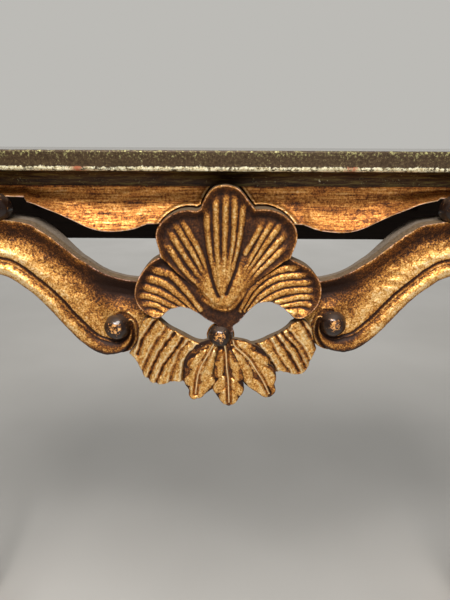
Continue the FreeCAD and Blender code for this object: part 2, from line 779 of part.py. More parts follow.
def make_arm():
    wires = [arm_section(upper, lower, share ** arm_thinning) for upper, lower, share in arm_stations()]
    arm = Part.makeLoft(wires, True, False)

    y_web = front(arm_front + arm_hollow - arm_web_cover, volute_x)
    disc = rod_y(volute_x, under_top - volute_drop, y_web, glued_back_y,
                 volute_start_radius - volute_disc_margin)
    tongue = plate(arm_tongue(y_web), glued_back_y - y_web)

    knee_z = under_top - knee_drop
    y_clear = front(overhang - frieze_flare - planted_gap, knee_x)
    knee_back_y = knee_seat_y + arm_thickness_outer - knee_back_margin
    knee = rod_y(knee_x, knee_z, knee_seat_y, knee_back_y, knee_volute_radius)
    under_lip = box(knee_x - knee_notch_reach, leg_inner, y_clear, 0.0,
                    under_top - frieze_end - 2.0 * planted_gap, table_height)
    knee = knee.cut(under_lip)
    arm = joined(arm, [volute_roll(), disc, tongue, knee])
    return one_solid(arm.cut(box(leg_inner, half_width, -half_depth, 0, 0, table_height)))


def make_boss(x, z, y_seat, radius):
    """A turned half-round boss with a spigot behind it."""
    ball = Part.makeSphere(radius, Vector(x, y_seat, z), Vector(0, -1, 0), 0, 90, 360)
    spigot = rod_y(x, z, y_seat - cutter_margin, y_seat + boss_spigot_length, boss_spigot_radius)
    return one_solid(joined(ball, [spigot]))


def boss_seat(x, z, y_seat, radius):
    """What is cleared from the carving for a boss: a level seat and a hole for its spigot."""
    seat = rod_y(x, z, -half_depth - boss_clearing, y_seat, radius + joint_clearance)
    hole = rod_y(x, z, y_seat - cutter_margin, y_seat + boss_spigot_length + end_clearance,
                 boss_spigot_radius + joint_clearance)
    return seat.fuse(hole)


# ---------------------------------------------------------------------------------------------
# Shell
# ---------------------------------------------------------------------------------------------
def flip(place):
    return (-place[0], place[1])


def shell_outline(y):
    """The five-lobed outline as a closed list of edges."""
    right = [
        (shell_centre_top, shell_centre_side, shell_upper_notch),
        (shell_upper_notch, shell_upper_shoulder, shell_upper_crown),
        (shell_upper_crown, shell_upper_side, shell_lower_notch),
        (shell_lower_notch, shell_lower_shoulder, shell_lower_crown),
        (shell_lower_crown, shell_lower_side, shell_lower_tip),
        (shell_lower_cusp, shell_eye_crown, shell_eye_end),
    ]
    links = [
        (shell_lower_tip, shell_lower_cusp),
        (shell_eye_end, (shell_tail_half, shell_tail_drop)),
    ]
    edges = []
    for a, b, c in right:
        edges.append(arc(spot(a, y), spot(b, y), spot(c, y)))
        edges.append(arc(spot(flip(a), y), spot(flip(b), y), spot(flip(c), y)))
    for a, b in links:
        edges.append(line(spot(a, y), spot(b, y)))
        edges.append(line(spot(flip(a), y), spot(flip(b), y)))
    tail = (shell_tail_half, shell_tail_drop)
    edges.append(line(spot(tail, y), spot(flip(tail), y)))
    return Part.__sortEdges__(edges)


def shell_rib(head, foot, y):
    """A reed that widens from its foot at the hinge to a round head."""
    a = spot(foot, y)
    b = spot(head, y)
    cone = Part.makeCone(rib_foot_radius, rib_head_radius, a.distanceToPoint(b), a, b - a)
    return [cone, Part.makeSphere(rib_head_radius, b)]


def make_shell():
    y_rim = front(shell_front)
    y_ground = y_rim + shell_dish
    y_back = y_rim + shell_thickness
    face = Part.Face(Part.Wire(shell_outline(y_rim)))
    solid = face.extrude(Vector(0, shell_thickness, 0))
    inner = face.makeOffset2D(-shell_rim_width)
    solid = solid.cut(inner.extrude(Vector(0, shell_dish, 0)))

    y_start = y_back - root_overlap
    behind = Part.Face(Part.Wire(shell_outline(y_start)))
    tongue = behind.extrude(Vector(0, front(shell_tongue_back) - y_start, 0))
    tongue = tongue.common(box(-half_width, half_width, -half_depth, 0,
                               under_top - shell_tongue_drop, table_height))
    clear_of_cove = box(-half_width, half_width, front(overhang) - shell_cove_gap, 0,
                        under_top, table_height)
    tongue = tongue.cut(clear_of_cove)
    pad = box(-shell_pad_half_width, shell_pad_half_width, y_start, glued_back_y,
              under_top - shell_pad_bottom_drop, under_top - shell_tongue_drop + root_overlap)
    reeds = []
    for head, foot in centre_ribs + upper_ribs + lower_ribs:
        reeds += shell_rib(head, foot, y_ground)
        if head[0] > 0:
            reeds += shell_rib(flip(head), flip(foot), y_ground)
    hinge = make_hinge(y_ground)
    shell = joined(solid, [tongue, pad, hinge] + reeds)
    keep = face.extrude(Vector(0, shell_tongue_back, 0))
    return one_solid(shell.common(keep))


def make_hinge(y):
    """The teardrop swelling where all reeds meet, turned about an upright axis."""
    z_top = under_top - shell_hinge_top_drop
    z_wide = under_top - shell_hinge_drop
    z_tail = under_top - shell_tail_drop
    upper, lower = shell_hinge_fullness
    head = Vector(shell_hinge_top_radius, 0, z_top)
    wide = Vector(shell_hinge_radius, 0, z_wide)
    foot = Vector(shell_hinge_tail_radius, 0, z_tail)
    profile = Part.Wire([
        arc(head, Vector(wide.x * upper, 0, (z_top + z_wide) / 2.0), wide),
        arc(wide, Vector(wide.x * lower, 0, (z_wide + z_tail) / 2.0), foot),
        line(foot, Vector(0, 0, z_tail)),
        line(Vector(0, 0, z_tail), Vector(0, 0, z_top)),
        line(Vector(0, 0, z_top), head),
    ])
    body = Part.Face(profile).revolve(Vector(0, 0, 0), Vector(0, 0, 1), 360)
    body.translate(Vector(0, y, 0))
    return body


def make_backing():
    low = under_top - backing_bottom_drop
    high = under_top - backing_top_drop
    board = box(-backing_half_width, backing_half_width, glued_back_y,
                glued_back_y + backing_thickness, low, high)
    uprights = [edge for edge in board.Edges
                if abs(edge.Vertexes[0].Y - edge.Vertexes[-1].Y) > tolerance]
    return board.makeFillet(backing_corner_radius, uprights)


# ---------------------------------------------------------------------------------------------
# Ruffles and leaves
# ---------------------------------------------------------------------------------------------
def make_ruffle(arm):
    y = front(ruffle_front)
    edges = [
        line(spot(ruffle_top_inner, y), spot(ruffle_eye_inner, y)),
        arc(spot(ruffle_eye_inner, y), spot(ruffle_eye_low, y), spot(ruffle_eye_corner, y)),
        line(spot(ruffle_eye_corner, y), spot(ruffle_outer_top, y)),
        line(spot(ruffle_outer_top, y), spot(ruffle_outer_low, y)),
    ]
    here = ruffle_outer_low
    for through, end in ruffle_scallops:
        edges.append(arc(spot(here, y), spot(through, y), spot(end, y)))
        here = end
    edges.append(line(spot(here, y), spot(ruffle_bottom_inner, y)))
    edges.append(line(spot(ruffle_bottom_inner, y), spot(ruffle_top_inner, y)))
    outline = Part.Face(Part.Wire(edges))
    ground = outline.extrude(Vector(0, ruffle_thickness, 0))
    run = (flute_foot_drop - flute_head_drop) * math.tan(math.radians(flute_lean))
    flutes = []
    for i in range(flute_count):
        x = flute_outer_foot - i * flute_pitch
        head = spot((x - run, flute_head_drop), y)
        foot = spot((x, flute_foot_drop), y)
        flutes.append(Part.makeCone(
            flute_head_radius, flute_radius, head.distanceToPoint(foot), head, foot - head))
    reach = flute_radius + cutter_margin
    keep = outline.makeOffset2D(-flute_edge)
    keep.translate(Vector(0, -reach, 0))
    keep = keep.extrude(Vector(0, 2.0 * reach, 0))
    keep = keep.cut(box(-half_width, flute_inner_end, -half_width, half_width, 0, table_height))
    for root, tip, width in (
            (side_leaf_root, side_leaf_tip, side_leaf_width),
            (outer_leaf_root, outer_leaf_tip, outer_leaf_width)):
        leaf_bed = Part.Face(Part.Wire(leaf_outline(root, tip, width + 2.0 * leaf_clearance, y)))
        leaf_bed.translate(Vector(0, -leaf_crown_radius, 0))
        keep = keep.cut(leaf_bed.extrude(Vector(0, 2.0 * leaf_crown_radius, 0)))
    flutes = [flute.common(keep) for flute in flutes]
    ruffle = joined(ground, [flute for flute in flutes if flute.Volume > 1.0])
    return one_solid(ruffle.cut(arm))


def leaf_outline(root, tip, width, y):
    """A leaf with rounded lobes down both edges and a pointed tip."""
    dx, dz = tip[0] - root[0], tip[1] - root[1]
    length = math.hypot(dx, dz)
    ux, uz = dx / length, dz / length

    def at(along, across):
        return spot((root[0] + ux * along - uz * across, root[1] + uz * along + ux * across), y)

    def swell(along):
        return width / 2.0 * math.sin(math.pi * (leaf_swell_start + leaf_swell_run * along))

    edges = []
    for side in (1.0, -1.0):
        here = at(0.0, side * width * leaf_root_share)
        for i in range(leaf_lobes):
            a = (i + 1.0) / leaf_lobes
            crown = at(length * (a - leaf_lobe_crown / leaf_lobes), side * swell(a - 0.5 / leaf_lobes))
            end = at(length, 0.0) if i == leaf_lobes - 1 else at(length * a, side * leaf_pinch * swell(a))
            edges.append(arc(here, crown, end))
            here = end
    edges.append(line(at(0.0, width * leaf_root_share), at(0.0, -width * leaf_root_share)))
    return Part.__sortEdges__(edges)


def make_leaf(root, tip, width, setback):
    y_ground = front(ruffle_front)
    y_crown = front(setback)
    outline = Part.Face(Part.Wire(leaf_outline(root, tip, width, y_ground)))
    body = outline.extrude(Vector(0, y_crown - y_ground - leaf_edge, 0))
    a = spot(root, y_crown + leaf_crown_radius)
    b = spot(tip, y_crown + leaf_crown_radius)
    along = (b - a).normalize() * leaf_crown_radius
    crown = Part.makeCylinder(leaf_crown_radius, a.distanceToPoint(b) + 2.0 * leaf_crown_radius,
                              a - along, along)
    body = body.common(crown)
    start = spot(root, y_crown + midrib_sink)
    end = spot(tip, y_crown + midrib_sink)
    rib = Part.makeCone(midrib_radius, midrib_radius * midrib_tip, start.distanceToPoint(end),
                        start, end - start)
    keep = outline.extrude(Vector(0, -leaf_crown_radius, 0))
    return body.fuse(rib.common(keep))


def make_leaf_spray():
    pieces = []
    for root, tip, width, sink in (
            (outer_leaf_root, outer_leaf_tip, outer_leaf_width, 2.0 * leaf_sink),
            (side_leaf_root, side_leaf_tip, side_leaf_width, leaf_sink)):
        pieces.append(make_leaf(root, tip, width, leaf_front + sink))
        pieces.append(make_leaf(flip(root), flip(tip), width, leaf_front + sink))
    centre = make_leaf(centre_leaf_root, centre_leaf_tip, centre_leaf_width, leaf_front)
    return one_solid(joined(centre, pieces))


# ---------------------------------------------------------------------------------------------
# Small pieces
# ---------------------------------------------------------------------------------------------
def arm_dowels(extra_radius, extra_length):
    """Dowels between the right-hand arm and its leg, or their holes."""
    y = front(arm_front + arm_thickness_outer / 2.0 + arm_dowel_setback, leg_inner)
    half = arm_dowel_length / 2.0 + extra_length
    return [rod_x(y, under_top - drop, leg_inner - half, leg_inner + half, arm_dowel_radius + extra_radius)
            for drop in arm_dowel_drops]


def block_places():
    """Middle of each glue block's glued side and the block's turn, under the top."""
    places = []
    for share in block_places_along:
        x = leg_inner * share
        lean = math.degrees(math.asin(x / bow_radius))
        y = front(overhang + front_rail_thickness, x) + joint_clearance
        places += [(x, y, lean), (-x, y, -lean)]
        places += [(x, leg_back - back_rail_thickness, 180.0), (-x, leg_back - back_rail_thickness, 180.0)]
    places.append((side_foot - side_rail_thickness, side_middle, 90.0))
    places.append((side_rail_thickness - side_foot, side_middle, -90.0))
    return places


def glue_block(x, y, turn):
    """A block with a chamfered free corner; its glued side faces -Y before the turn."""
    small = block_size * (1.0 - block_chamfer)
    corners = [(0, 0), (block_size, 0), (block_size, -small), (small, -block_size), (0, -block_size)]
    points = [Vector(-block_length / 2.0, across, up) for across, up in corners]
    edges = [line(a, b) for a, b in zip(points, points[1:] + points[:1])]
    block = Part.Face(Part.Wire(edges)).extrude(Vector(block_length, 0, 0))
    block.rotate(Vector(0, 0, 0), Vector(0, 0, 1), turn)
    block.translate(Vector(x, y, under_top))
    return block


def screw_spot(x, y, turn):
    """Where a block's screw stands: half a block's size off its glued side."""
    angle = math.radians(turn)
    return x - math.sin(angle) * block_size / 2.0, y + math.cos(angle) * block_size / 2.0


def make_screw(x, y, extra_radius, extra_length):
    """A screw with a flat head driven up through a glue block, or its hole."""
    z0 = under_top - block_size * screw_head_depth
    shank = Part.makeCylinder(screw_radius + extra_radius,
                              under_top + screw_bite + extra_length - z0, Vector(x, y, z0))
    head = Part.makeCylinder(screw_head_radius + extra_radius, screw_head_height, Vector(x, y, z0))
    return shank.fuse(head).removeSplitter()


def screw_pocket(x, y):
    """Counterbore below a screw's head, open at the underside of its block."""
    z0 = under_top - block_size * screw_head_depth
    return Part.makeCylinder(screw_head_radius + joint_clearance, block_size,
                             Vector(x, y, z0 - block_size))


def glide_spike(x, y, extra_radius, extra_length):
    """A glide's spike, or its hole up into the foot."""
    return Part.makeCylinder(glide_spike_radius + extra_radius, glide_spike_length + extra_length,
                             Vector(x, y, glide_height - cutter_margin))


def glide(x, y):
    """A round-edged glide with its spike."""
    disc = Part.makeCylinder(glide_radius, glide_height, Vector(x, y, 0))
    rim = [edge for edge in disc.Edges
           if edge.Curve.TypeId.endswith("Circle") and abs(edge.Vertexes[0].Z) < tolerance]
    disc = disc.makeFillet(glide_edge_round, rim)
    return disc.fuse(glide_spike(x, y, 0.0, 0.0)).removeSplitter()


# ---------------------------------------------------------------------------------------------
# Assembly
# ---------------------------------------------------------------------------------------------
def main():
    nodes = {}

    top = make_top_board()
    front_leg = make_front_leg()
    rear_leg = make_rear_leg()
    front_rail = make_front_rail()
    back_rail = make_back_rail()
    side_rail = make_side_rail()

    def mortise(y_mid, drop):
        return box(leg_inner - cutter_margin, leg_inner + tenon_length + end_clearance,
                   y_mid - tenon_thickness / 2.0 - joint_clearance,
                   y_mid + tenon_thickness / 2.0 + joint_clearance,
                   under_top - drop + tenon_shoulder - joint_clearance,
                   under_top - tenon_shoulder + joint_clearance)

    back_tenon_y = leg_back - back_rail_thickness / 2.0
    side_tenon_x = side_foot - side_rail_thickness / 2.0

    def side_mortise(y0, y1):
        return box(side_tenon_x - tenon_thickness / 2.0 - joint_clearance,
                   side_tenon_x + tenon_thickness / 2.0 + joint_clearance,
                   y0, y1,
                   under_top - side_rail_end_drop + tenon_shoulder - joint_clearance,
                   under_top - tenon_shoulder + joint_clearance)

    front_leg = front_leg.cut(mortise(front_tenon_y, plain_rail_drop))
    front_leg = front_leg.cut(side_mortise(front_leg_back - tenon_length - end_clearance,
                                           front_leg_back + cutter_margin))
    rear_leg = rear_leg.cut(mortise(back_tenon_y, back_rail_height))
    rear_leg = rear_leg.cut(side_mortise(rear_leg_front - cutter_margin,
                                         rear_leg_front + tenon_length + end_clearance))

    # scroll arms, their dowels and turned bosses
    arm = make_arm()
    for hole in arm_dowels(joint_clearance, end_clearance):
        arm = arm.cut(hole)
        front_leg = front_leg.cut(hole)
    volute_z = under_top - volute_drop
    knee_z = under_top - knee_drop
    volute_seat_y = front(boss_radius + volute_boss_sink)
    arm = arm.cut(boss_seat(volute_x, volute_z, volute_seat_y, 0.0))
    arm = arm.cut(boss_seat(knee_x, knee_z, knee_seat_y, 0.0))
    volute_boss = make_boss(volute_x, volute_z, volute_seat_y, boss_radius)
    knee_boss = make_boss(knee_x, knee_z, knee_seat_y, knee_boss_radius)
    arm = one_solid(arm.cut(volute_boss))

    # carving below and around the shell
    centre_z = under_top - centre_boss_drop
    centre_seat_y = front(boss_radius + centre_boss_sink)
    centre_boss = make_boss(0.0, centre_z, centre_seat_y, boss_radius)
    centre_clear = boss_seat(0.0, centre_z, centre_seat_y, boss_radius + centre_boss_margin)

    ruffle = make_ruffle(arm)
    left_arm = mirrored(arm)
    left_ruffle = mirrored(ruffle)
    shell = make_shell()
    shell = shell.cut(arm).cut(left_arm).cut(ruffle).cut(left_ruffle)
    shell = one_solid(shell.cut(centre_clear))
    spray = make_leaf_spray()
    spray = one_solid(spray.cut(shell).cut(centre_clear))
    ruffle = one_solid(ruffle.cut(centre_clear))
    left_ruffle = mirrored(ruffle)
    backing = make_backing()
    for other in (arm, left_arm, shell, front_rail):
        backing = backing.cut(other)
    backing = one_solid(backing)
    front_rail = one_solid(front_rail.cut(shell).cut(arm).cut(left_arm))

    # glue blocks, screws and glides
    screws = []
    blocks = []
    for place in block_places():
        x, y = screw_spot(*place)
        screws.append(make_screw(x, y, 0.0, 0.0))
        clearance = make_screw(x, y, joint_clearance, end_clearance)
        blocks.append(glue_block(*place).cut(clearance).cut(screw_pocket(x, y)))
        top = top.cut(clearance)
    foot = leg_sections[0]
    foot_x = leg_inner + foot[1] - foot[2] / 2.0
    front_foot_y = front_leg_back - foot[1] + foot[2] / 2.0
    rear_foot_y = leg_back - foot[2] / 2.0
    front_leg = front_leg.cut(glide_spike(foot_x, front_foot_y, joint_clearance, end_clearance))
    rear_leg = rear_leg.cut(glide_spike(foot_x, rear_foot_y, joint_clearance, end_clearance))
    glides = [glide(side * foot_x, y) for side in (-1, 1) for y in (front_foot_y, rear_foot_y)]

    nodes["top_board"] = top
    nodes["front_rail"] = front_rail
    nodes["back_rail"] = back_rail
    nodes["right_rail"] = side_rail
    nodes["left_rail"] = mirrored(side_rail)
    nodes["front_right_leg"] = front_leg
    nodes["front_left_leg"] = mirrored(front_leg)
    nodes["back_right_leg"] = rear_leg
    nodes["back_left_leg"] = mirrored(rear_leg)
    nodes["right_arm"] = arm
    nodes["left_arm"] = left_arm
    nodes["shell"] = shell
    nodes["shell_backing"] = backing
    nodes["right_ruffle"] = ruffle
    nodes["left_ruffle"] = left_ruffle
    nodes["leaf_spray"] = spray
    nodes["centre_boss"] = centre_boss
    nodes["right_volute_boss"] = volute_boss
    nodes["left_volute_boss"] = mirrored(volute_boss)
    nodes["right_knee_boss"] = knee_boss
    nodes["left_knee_boss"] = mirrored(knee_boss)
    dowels = arm_dowels(0.0, 0.0)
    nodes["arm_dowels"] = Part.makeCompound(dowels + [mirrored(d) for d in dowels])
    nodes["glue_blocks"] = Part.makeCompound(blocks)
    nodes["top_screws"] = Part.makeCompound(screws)
    nodes["foot_glides"] = Part.makeCompound(glides)

    os.makedirs("parts", exist_ok=True)
    for name, shape in nodes.items():
        shape.exportStep("parts/" + name + ".step")
        print("%-20s solids %d valid %s volume %.0f" % (
            name, len(shape.Solids), shape.isValid(), shape.Volume))


main()
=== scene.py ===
import math

import bpy
import numpy as np
from mathutils import Matrix, Vector
from mathutils.geometry import delaunay_2d_cdt


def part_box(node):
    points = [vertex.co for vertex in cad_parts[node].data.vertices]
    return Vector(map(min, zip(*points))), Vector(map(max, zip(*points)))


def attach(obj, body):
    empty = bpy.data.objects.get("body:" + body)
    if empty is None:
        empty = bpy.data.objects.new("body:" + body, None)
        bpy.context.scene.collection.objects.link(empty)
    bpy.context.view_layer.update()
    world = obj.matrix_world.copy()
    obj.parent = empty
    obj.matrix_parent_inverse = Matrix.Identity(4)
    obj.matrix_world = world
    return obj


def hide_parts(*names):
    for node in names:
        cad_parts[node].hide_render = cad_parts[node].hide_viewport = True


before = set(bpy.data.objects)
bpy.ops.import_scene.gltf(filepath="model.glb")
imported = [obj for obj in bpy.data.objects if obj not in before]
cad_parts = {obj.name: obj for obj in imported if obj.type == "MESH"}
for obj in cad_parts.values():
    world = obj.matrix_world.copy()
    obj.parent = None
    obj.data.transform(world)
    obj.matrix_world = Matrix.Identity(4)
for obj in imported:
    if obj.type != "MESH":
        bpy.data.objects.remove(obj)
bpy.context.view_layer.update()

# Looks of a slim carved and gilded pier table.  All sizes are in millimetres in the row's own
# frame: +X right, +Y towards the wall, +Z up.  A carved outline is a list of (distance from the
# middle, drop below the top board), and a depth is a setback behind the front of the nosing.

# ---- Sizes taken from the frame ----
MM = 0.001
TOP_LOW, TOP_HIGH = (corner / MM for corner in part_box("top_board"))
HALF_WIDTH = TOP_HIGH.x
HALF_DEPTH = TOP_HIGH.y
TABLE_HEIGHT = TOP_HIGH.z
UNDER_TOP = TOP_LOW.z
LEG_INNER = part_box("right_arm")[1].x / MM
FAR = 99.0                   # further than any reed or groove is from the point it shapes
BATCH = 4000                 # points measured at a time
FLOOR_HALF = 12.0            # half the side of the floor, in metres
FRONT_BOW = 24.0
BOW_RADIUS = (HALF_WIDTH ** 2 + FRONT_BOW ** 2) / (2.0 * FRONT_BOW)

# ---- Camera: close in front of the shell, a little above the top board ----
CAMERA_AHEAD = 300.0         # in front of the nosing
CAMERA_ABOVE = 3.3           # above the top board
CAMERA_PITCH = 19.05         # degrees below level
CAMERA_ROLL = 0.29
CAMERA_LENS = 26.94
CAMERA_SENSOR = 36.0

# ---- Top board ----
CORNER_RADIUS = 26.0
OVERHANG = 22.0
COVE_HEIGHT = 11.0
COVE_RADIUS = 10.2
UPPER_ROUND = 1.4
LOWER_ROUND = 2.4
BOLE_PATCHES = [(-95.0, 8.0), (81.0, 5.0)]    # (middle, half width) of the red bole on the lower arris
BOLE_STRENGTH = 0.72

# ---- Outline and reeds of the shell ----
# The outline runs from the left notch of its crown round to the right.  A stroke is a smooth run to the
# next sharp corner and begins where the one before it ends.
SHELL = [
    # centre lobe
    [(-14.5, 7.7), (-10.9, 2.0), (-6.7, -1.3), (-0.4, -2.6), (4.6, -1.8), (8.6, -0.3), (12.0, 3.0),
     (16.0, 8.2), (20.2, 13.4)],
    # upper right lobe
    [(25.0, 13.0), (31.4, 13.6), (37.8, 16.0), (43.4, 19.9), (47.6, 25.2), (49.2, 31.3), (48.3, 37.6),
     (46.4, 42.8), (45.2, 47.0)],
    # lower right lobe
    [(48.8, 49.0), (55.4, 52.0), (61.2, 56.0), (66.0, 61.8), (68.4, 69.5), (67.5, 78.5), (63.2, 86.0),
     (57.3, 90.6), (52.4, 91.4), (49.0, 90.0)],
    # right edge of the eye
    [(45.1, 86.6), (38.8, 82.2), (31.1, 79.8), (23.8, 81.0), (18.2, 85.6), (13.4, 92.0), (10.0, 96.4),
     (6.0, 99.0)],
    # tail behind the centre ball
    [(6.0, 104.0)],
    [(-6.0, 104.0)],
    [(-6.0, 98.0)],
    # left edge of the eye
    [(-12.0, 95.0), (-15.9, 92.0), (-21.9, 87.2), (-29.4, 84.2), (-36.3, 84.7), (-42.4, 87.4),
     (-45.6, 90.2)],
    # lower left lobe
    [(-50.2, 91.4), (-55.8, 88.9), (-61.0, 84.0), (-64.2, 76.5), (-63.6, 68.0), (-60.2, 60.0),
     (-55.2, 53.2), (-50.3, 49.0), (-45.0, 46.4)],
    # upper left lobe
    [(-45.6, 41.2), (-47.2, 34.9), (-47.3, 30.0), (-45.5, 25.1), (-41.1, 20.2), (-35.6, 16.6),
     (-30.4, 14.6), (-24.7, 13.9), (-19.6, 14.4), (-16.6, 13.0)],
]

# Reeds of the shell, from the head to the hinge
CENTRE_REEDS = [
    [(-12.9, 12.0), (-12.3, 29.8), (-10.0, 48.6), (-7.4, 60.0)],
    [(-6.4, 3.0), (-6.5, 17.7), (-5.9, 36.0), (-5.0, 51.7), (-4.0, 62.0)],
    [(0.2, 1.8), (0.1, 17.7), (-0.4, 36.0), (-0.6, 51.7), (-0.8, 62.0)],
    [(6.1, 2.8), (6.3, 17.7), (5.6, 36.0), (3.8, 48.5), (2.2, 60.0)],
    [(11.9, 7.6), (11.6, 17.6), (10.2, 29.7), (7.9, 43.0), (5.2, 56.0)],
]
UPPER_LEFT_REEDS = [
    [(-30.3, 20.4), (-25.1, 29.9), (-20.3, 37.9), (-15.7, 48.6), (-11.4, 60.2)],
    [(-35.1, 21.6), (-29.0, 33.0), (-23.4, 42.3), (-18.4, 51.8), (-12.8, 62.8)],
    [(-39.2, 27.8), (-31.6, 40.4), (-25.4, 50.6), (-18.2, 60.4), (-13.6, 66.6)],
    [(-41.9, 35.4), (-34.9, 47.2), (-28.1, 57.3), (-16.4, 69.6)],
]
UPPER_RIGHT_REEDS = [
    [(25.9, 21.6), (20.8, 32.1), (13.9, 44.0)],
    [(32.6, 20.8), (24.3, 35.8), (16.7, 51.0), (10.4, 62.0)],
    [(39.4, 22.0), (30.4, 34.0), (22.2, 46.4), (15.1, 57.0), (10.8, 65.0)],
    [(43.0, 28.8), (32.6, 41.4), (22.8, 53.2), (12.4, 67.4)],
    [(43.2, 37.4), (33.8, 47.2), (23.8, 56.8), (13.4, 69.6)],
]
LOWER_LEFT_REEDS = [
    [(-52.9, 55.7), (-44.5, 57.9), (-37.0, 61.4), (-28.7, 70.8), (-21.9, 80.2)],
    [(-57.2, 61.8), (-43.4, 66.6), (-34.1, 74.4), (-26.2, 83.0)],
    [(-60.6, 68.4), (-48.6, 72.4), (-39.2, 77.2), (-30.6, 83.0)],
    [(-62.0, 74.6), (-50.7, 77.7), (-41.0, 82.2), (-36.5, 84.4)],
    [(-60.6, 81.0), (-50.0, 83.0), (-43.4, 86.4)],
    [(-57.0, 86.6), (-49.0, 88.2)],
]
LOWER_RIGHT_REEDS = [
    [(52.6, 54.2), (41.0, 55.8), (30.0, 60.6), (19.6, 71.4), (14.6, 80.6)],
    [(58.4, 59.6), (41.8, 61.0), (31.7, 64.8), (22.7, 72.0), (17.4, 80.4)],
    [(62.4, 65.2), (45.7, 66.0), (35.7, 68.8), (27.0, 74.6), (21.6, 80.6)],
    [(64.0, 70.8), (50.4, 71.0), (39.7, 73.4), (32.2, 77.4)],
    [(64.2, 76.2), (53.9, 76.2), (43.8, 78.6)],
    [(63.2, 81.8), (54.1, 81.0), (46.0, 82.6)],
    [(60.0, 86.8), (51.2, 86.4)],
]

# The hinge where the reeds meet, the folded lower edge of the fan, and the two valleys down it
HINGE = (0.6, 73.0)
FOLD_LEFT = [(-45.0, 46.0), (-37.5, 54.5), (-28.9, 62.9), (-21.6, 70.1), (-17.2, 75.6), (-12.2, 80.4),
             (-6.4, 84.0), (0.0, 85.4)]
FOLD_RIGHT = [(45.2, 46.5), (34.6, 54.9), (24.6, 62.6), (15.8, 70.4), (11.6, 75.6), (8.0, 80.4),
              (4.6, 83.8), (0.0, 85.4)]
VALLEYS = [
    [(20.0, 13.6), (16.9, 26.0), (13.4, 38.0), (9.6, 48.0), (7.4, 56.2), (4.2, 64.7), (1.0, 73.0)],
    [(-16.8, 13.4), (-16.0, 26.0), (-14.0, 40.0), (-11.8, 52.0), (-9.4, 62.0), (-7.0, 70.0), (-4.6, 75.0)],
]

SHELL_RIM = 2.0              # setback of the rim
SHELL_DISH = 4.4             # how much deeper the ground between the reeds lies
SHELL_BULB = 5.0             # how far the hinge swells
SHELL_BULB_RADIUS = 17.5
SHELL_REED = 1.4             # height of a reed
REED_BEND = 1.9              # how full a reed's section is
SHELL_REAR = 18.0            # setback of the shell's back

# ---- Edges and sections of a scroll arm ----
# Edges run from the leg inwards; a run's first value is a share of the way to the leg.
ARM_RUN_UPPER = [(1.0, 10.0), (0.87, 10.5), (0.64, 11.5), (0.3, 12.7), (0.14, 13.7)]
ARM_RUN_LOWER = [(1.0, 104.0), (0.94, 88.0), (0.87, 77.0), (0.78, 70.0), (0.64, 65.5), (0.48, 63.0),
                 (0.3, 61.0), (0.14, 59.5)]
ARM_RUN_END = 190.0
ARM_UPPER = [(175.5, 17.0), (161.0, 20.5), (151.0, 22.5), (137.4, 24.8), (130.0, 28.7), (121.5, 34.7),
             (114.8, 40.2), (105.0, 48.5), (99.8, 51.7), (92.0, 56.8), (87.3, 59.4), (81.5, 61.9),
             (72.0, 64.4), (64.0, 65.3), (52.0, 66.0)]
ARM_GROOVE = [(175.5, 47.2), (160.4, 49.8), (151.7, 52.1), (142.7, 58.1), (136.2, 63.9), (129.5, 69.8),
              (122.9, 76.3), (116.3, 83.9), (109.7, 91.9), (102.8, 98.9), (96.4, 104.6), (92.7, 106.5)]
ARM_LOWER = [(174.5, 59.3), (162.4, 62.1), (154.7, 65.0), (148.1, 69.7), (140.7, 75.5), (134.8, 81.7),
             (128.7, 89.1), (122.8, 96.6), (116.1, 104.8), (109.3, 112.4), (103.2, 117.4),
             (97.4, 120.6), (91.6, 122.0), (86.4, 121.6)]
ARM_GROOVE_RUN = 12.6        # width of the edge bead along the straight run
RING_START = -88.0           # the ledge round the ball, in degrees from +X
RING_SWEEP = 182.0
RING_RADII = (22.2, 21.0, 18.8, 16.0, 14.6, 13.4, 10.8)
FLANK_START = -90.0          # the turned bead's outer edge
FLANK_SWEEP = 107.0
FLANK_RADII = (22.0, 18.0, 14.8, 12.4, 10.8, 10.2)
GROOVE_START = -50.0         # the groove between hollow and bead
GROOVE_SWEEP = 220.0
GROOVE_RADII = (12.2, 10.8, 10.1, 9.9, 9.8, 9.8)
RING_FROM = 0.84             # share of the groove's length at which the ring begins
ARM_SETBACK = 7.0
BEAD_FOOT = 10.8             # setback of the bead's foot
BEAD_RISE = 5.8
LEDGE_SETBACK = 11.4
ARM_REAR = 18.0
ARM_THICKENING = 12.0        # how much thicker the arm is away from the shell

# Across the hollow from the upper edge to the groove, and across the bead from there to its edge
HOLLOW_SHARES = [0.0, 0.10, 0.30, 0.46, 0.66, 0.86, 1.0]
HOLLOW_DEPTHS = [0.0, 2.4, 7.2, 8.6, 6.6, 3.9, 3.0]
# Painted light: the hollow's tone is painted darker on its upper part, which faces down, and lighter towards
# the groove, where it faces up.
HOLLOW_SHADE_AND_HIGHLIGHT = [-0.05, -0.26, -0.28, -0.14, 0.06, 0.20, 0.16]
BEAD_SHARES = [0.0, 0.10, 0.18, 0.30, 0.45, 0.62, 0.80, 0.92, 1.0]
BEAD_HEIGHTS = [0.15, 0.50, 0.40, 0.74, 0.95, 1.0, 0.84, 0.52, 0.10]
# Painted light: the bead's tone is a painted highlight on its crest and painted shade in the groove and
# along its lower edge.
BEAD_SHADE_AND_HIGHLIGHT = [-0.20, 0.14, -0.22, 0.0, 0.16, 0.26, 0.0, -0.26, -0.50]

ARM_TONGUE = [(52.0, 92.0), (56.0, 104.0)]    # inner end of an arm, behind the shell and the ruffle
ARM_STEP = ((5.0, 1.1), (5.6, 1.1))           # (way back, way out) of the step in its side walls

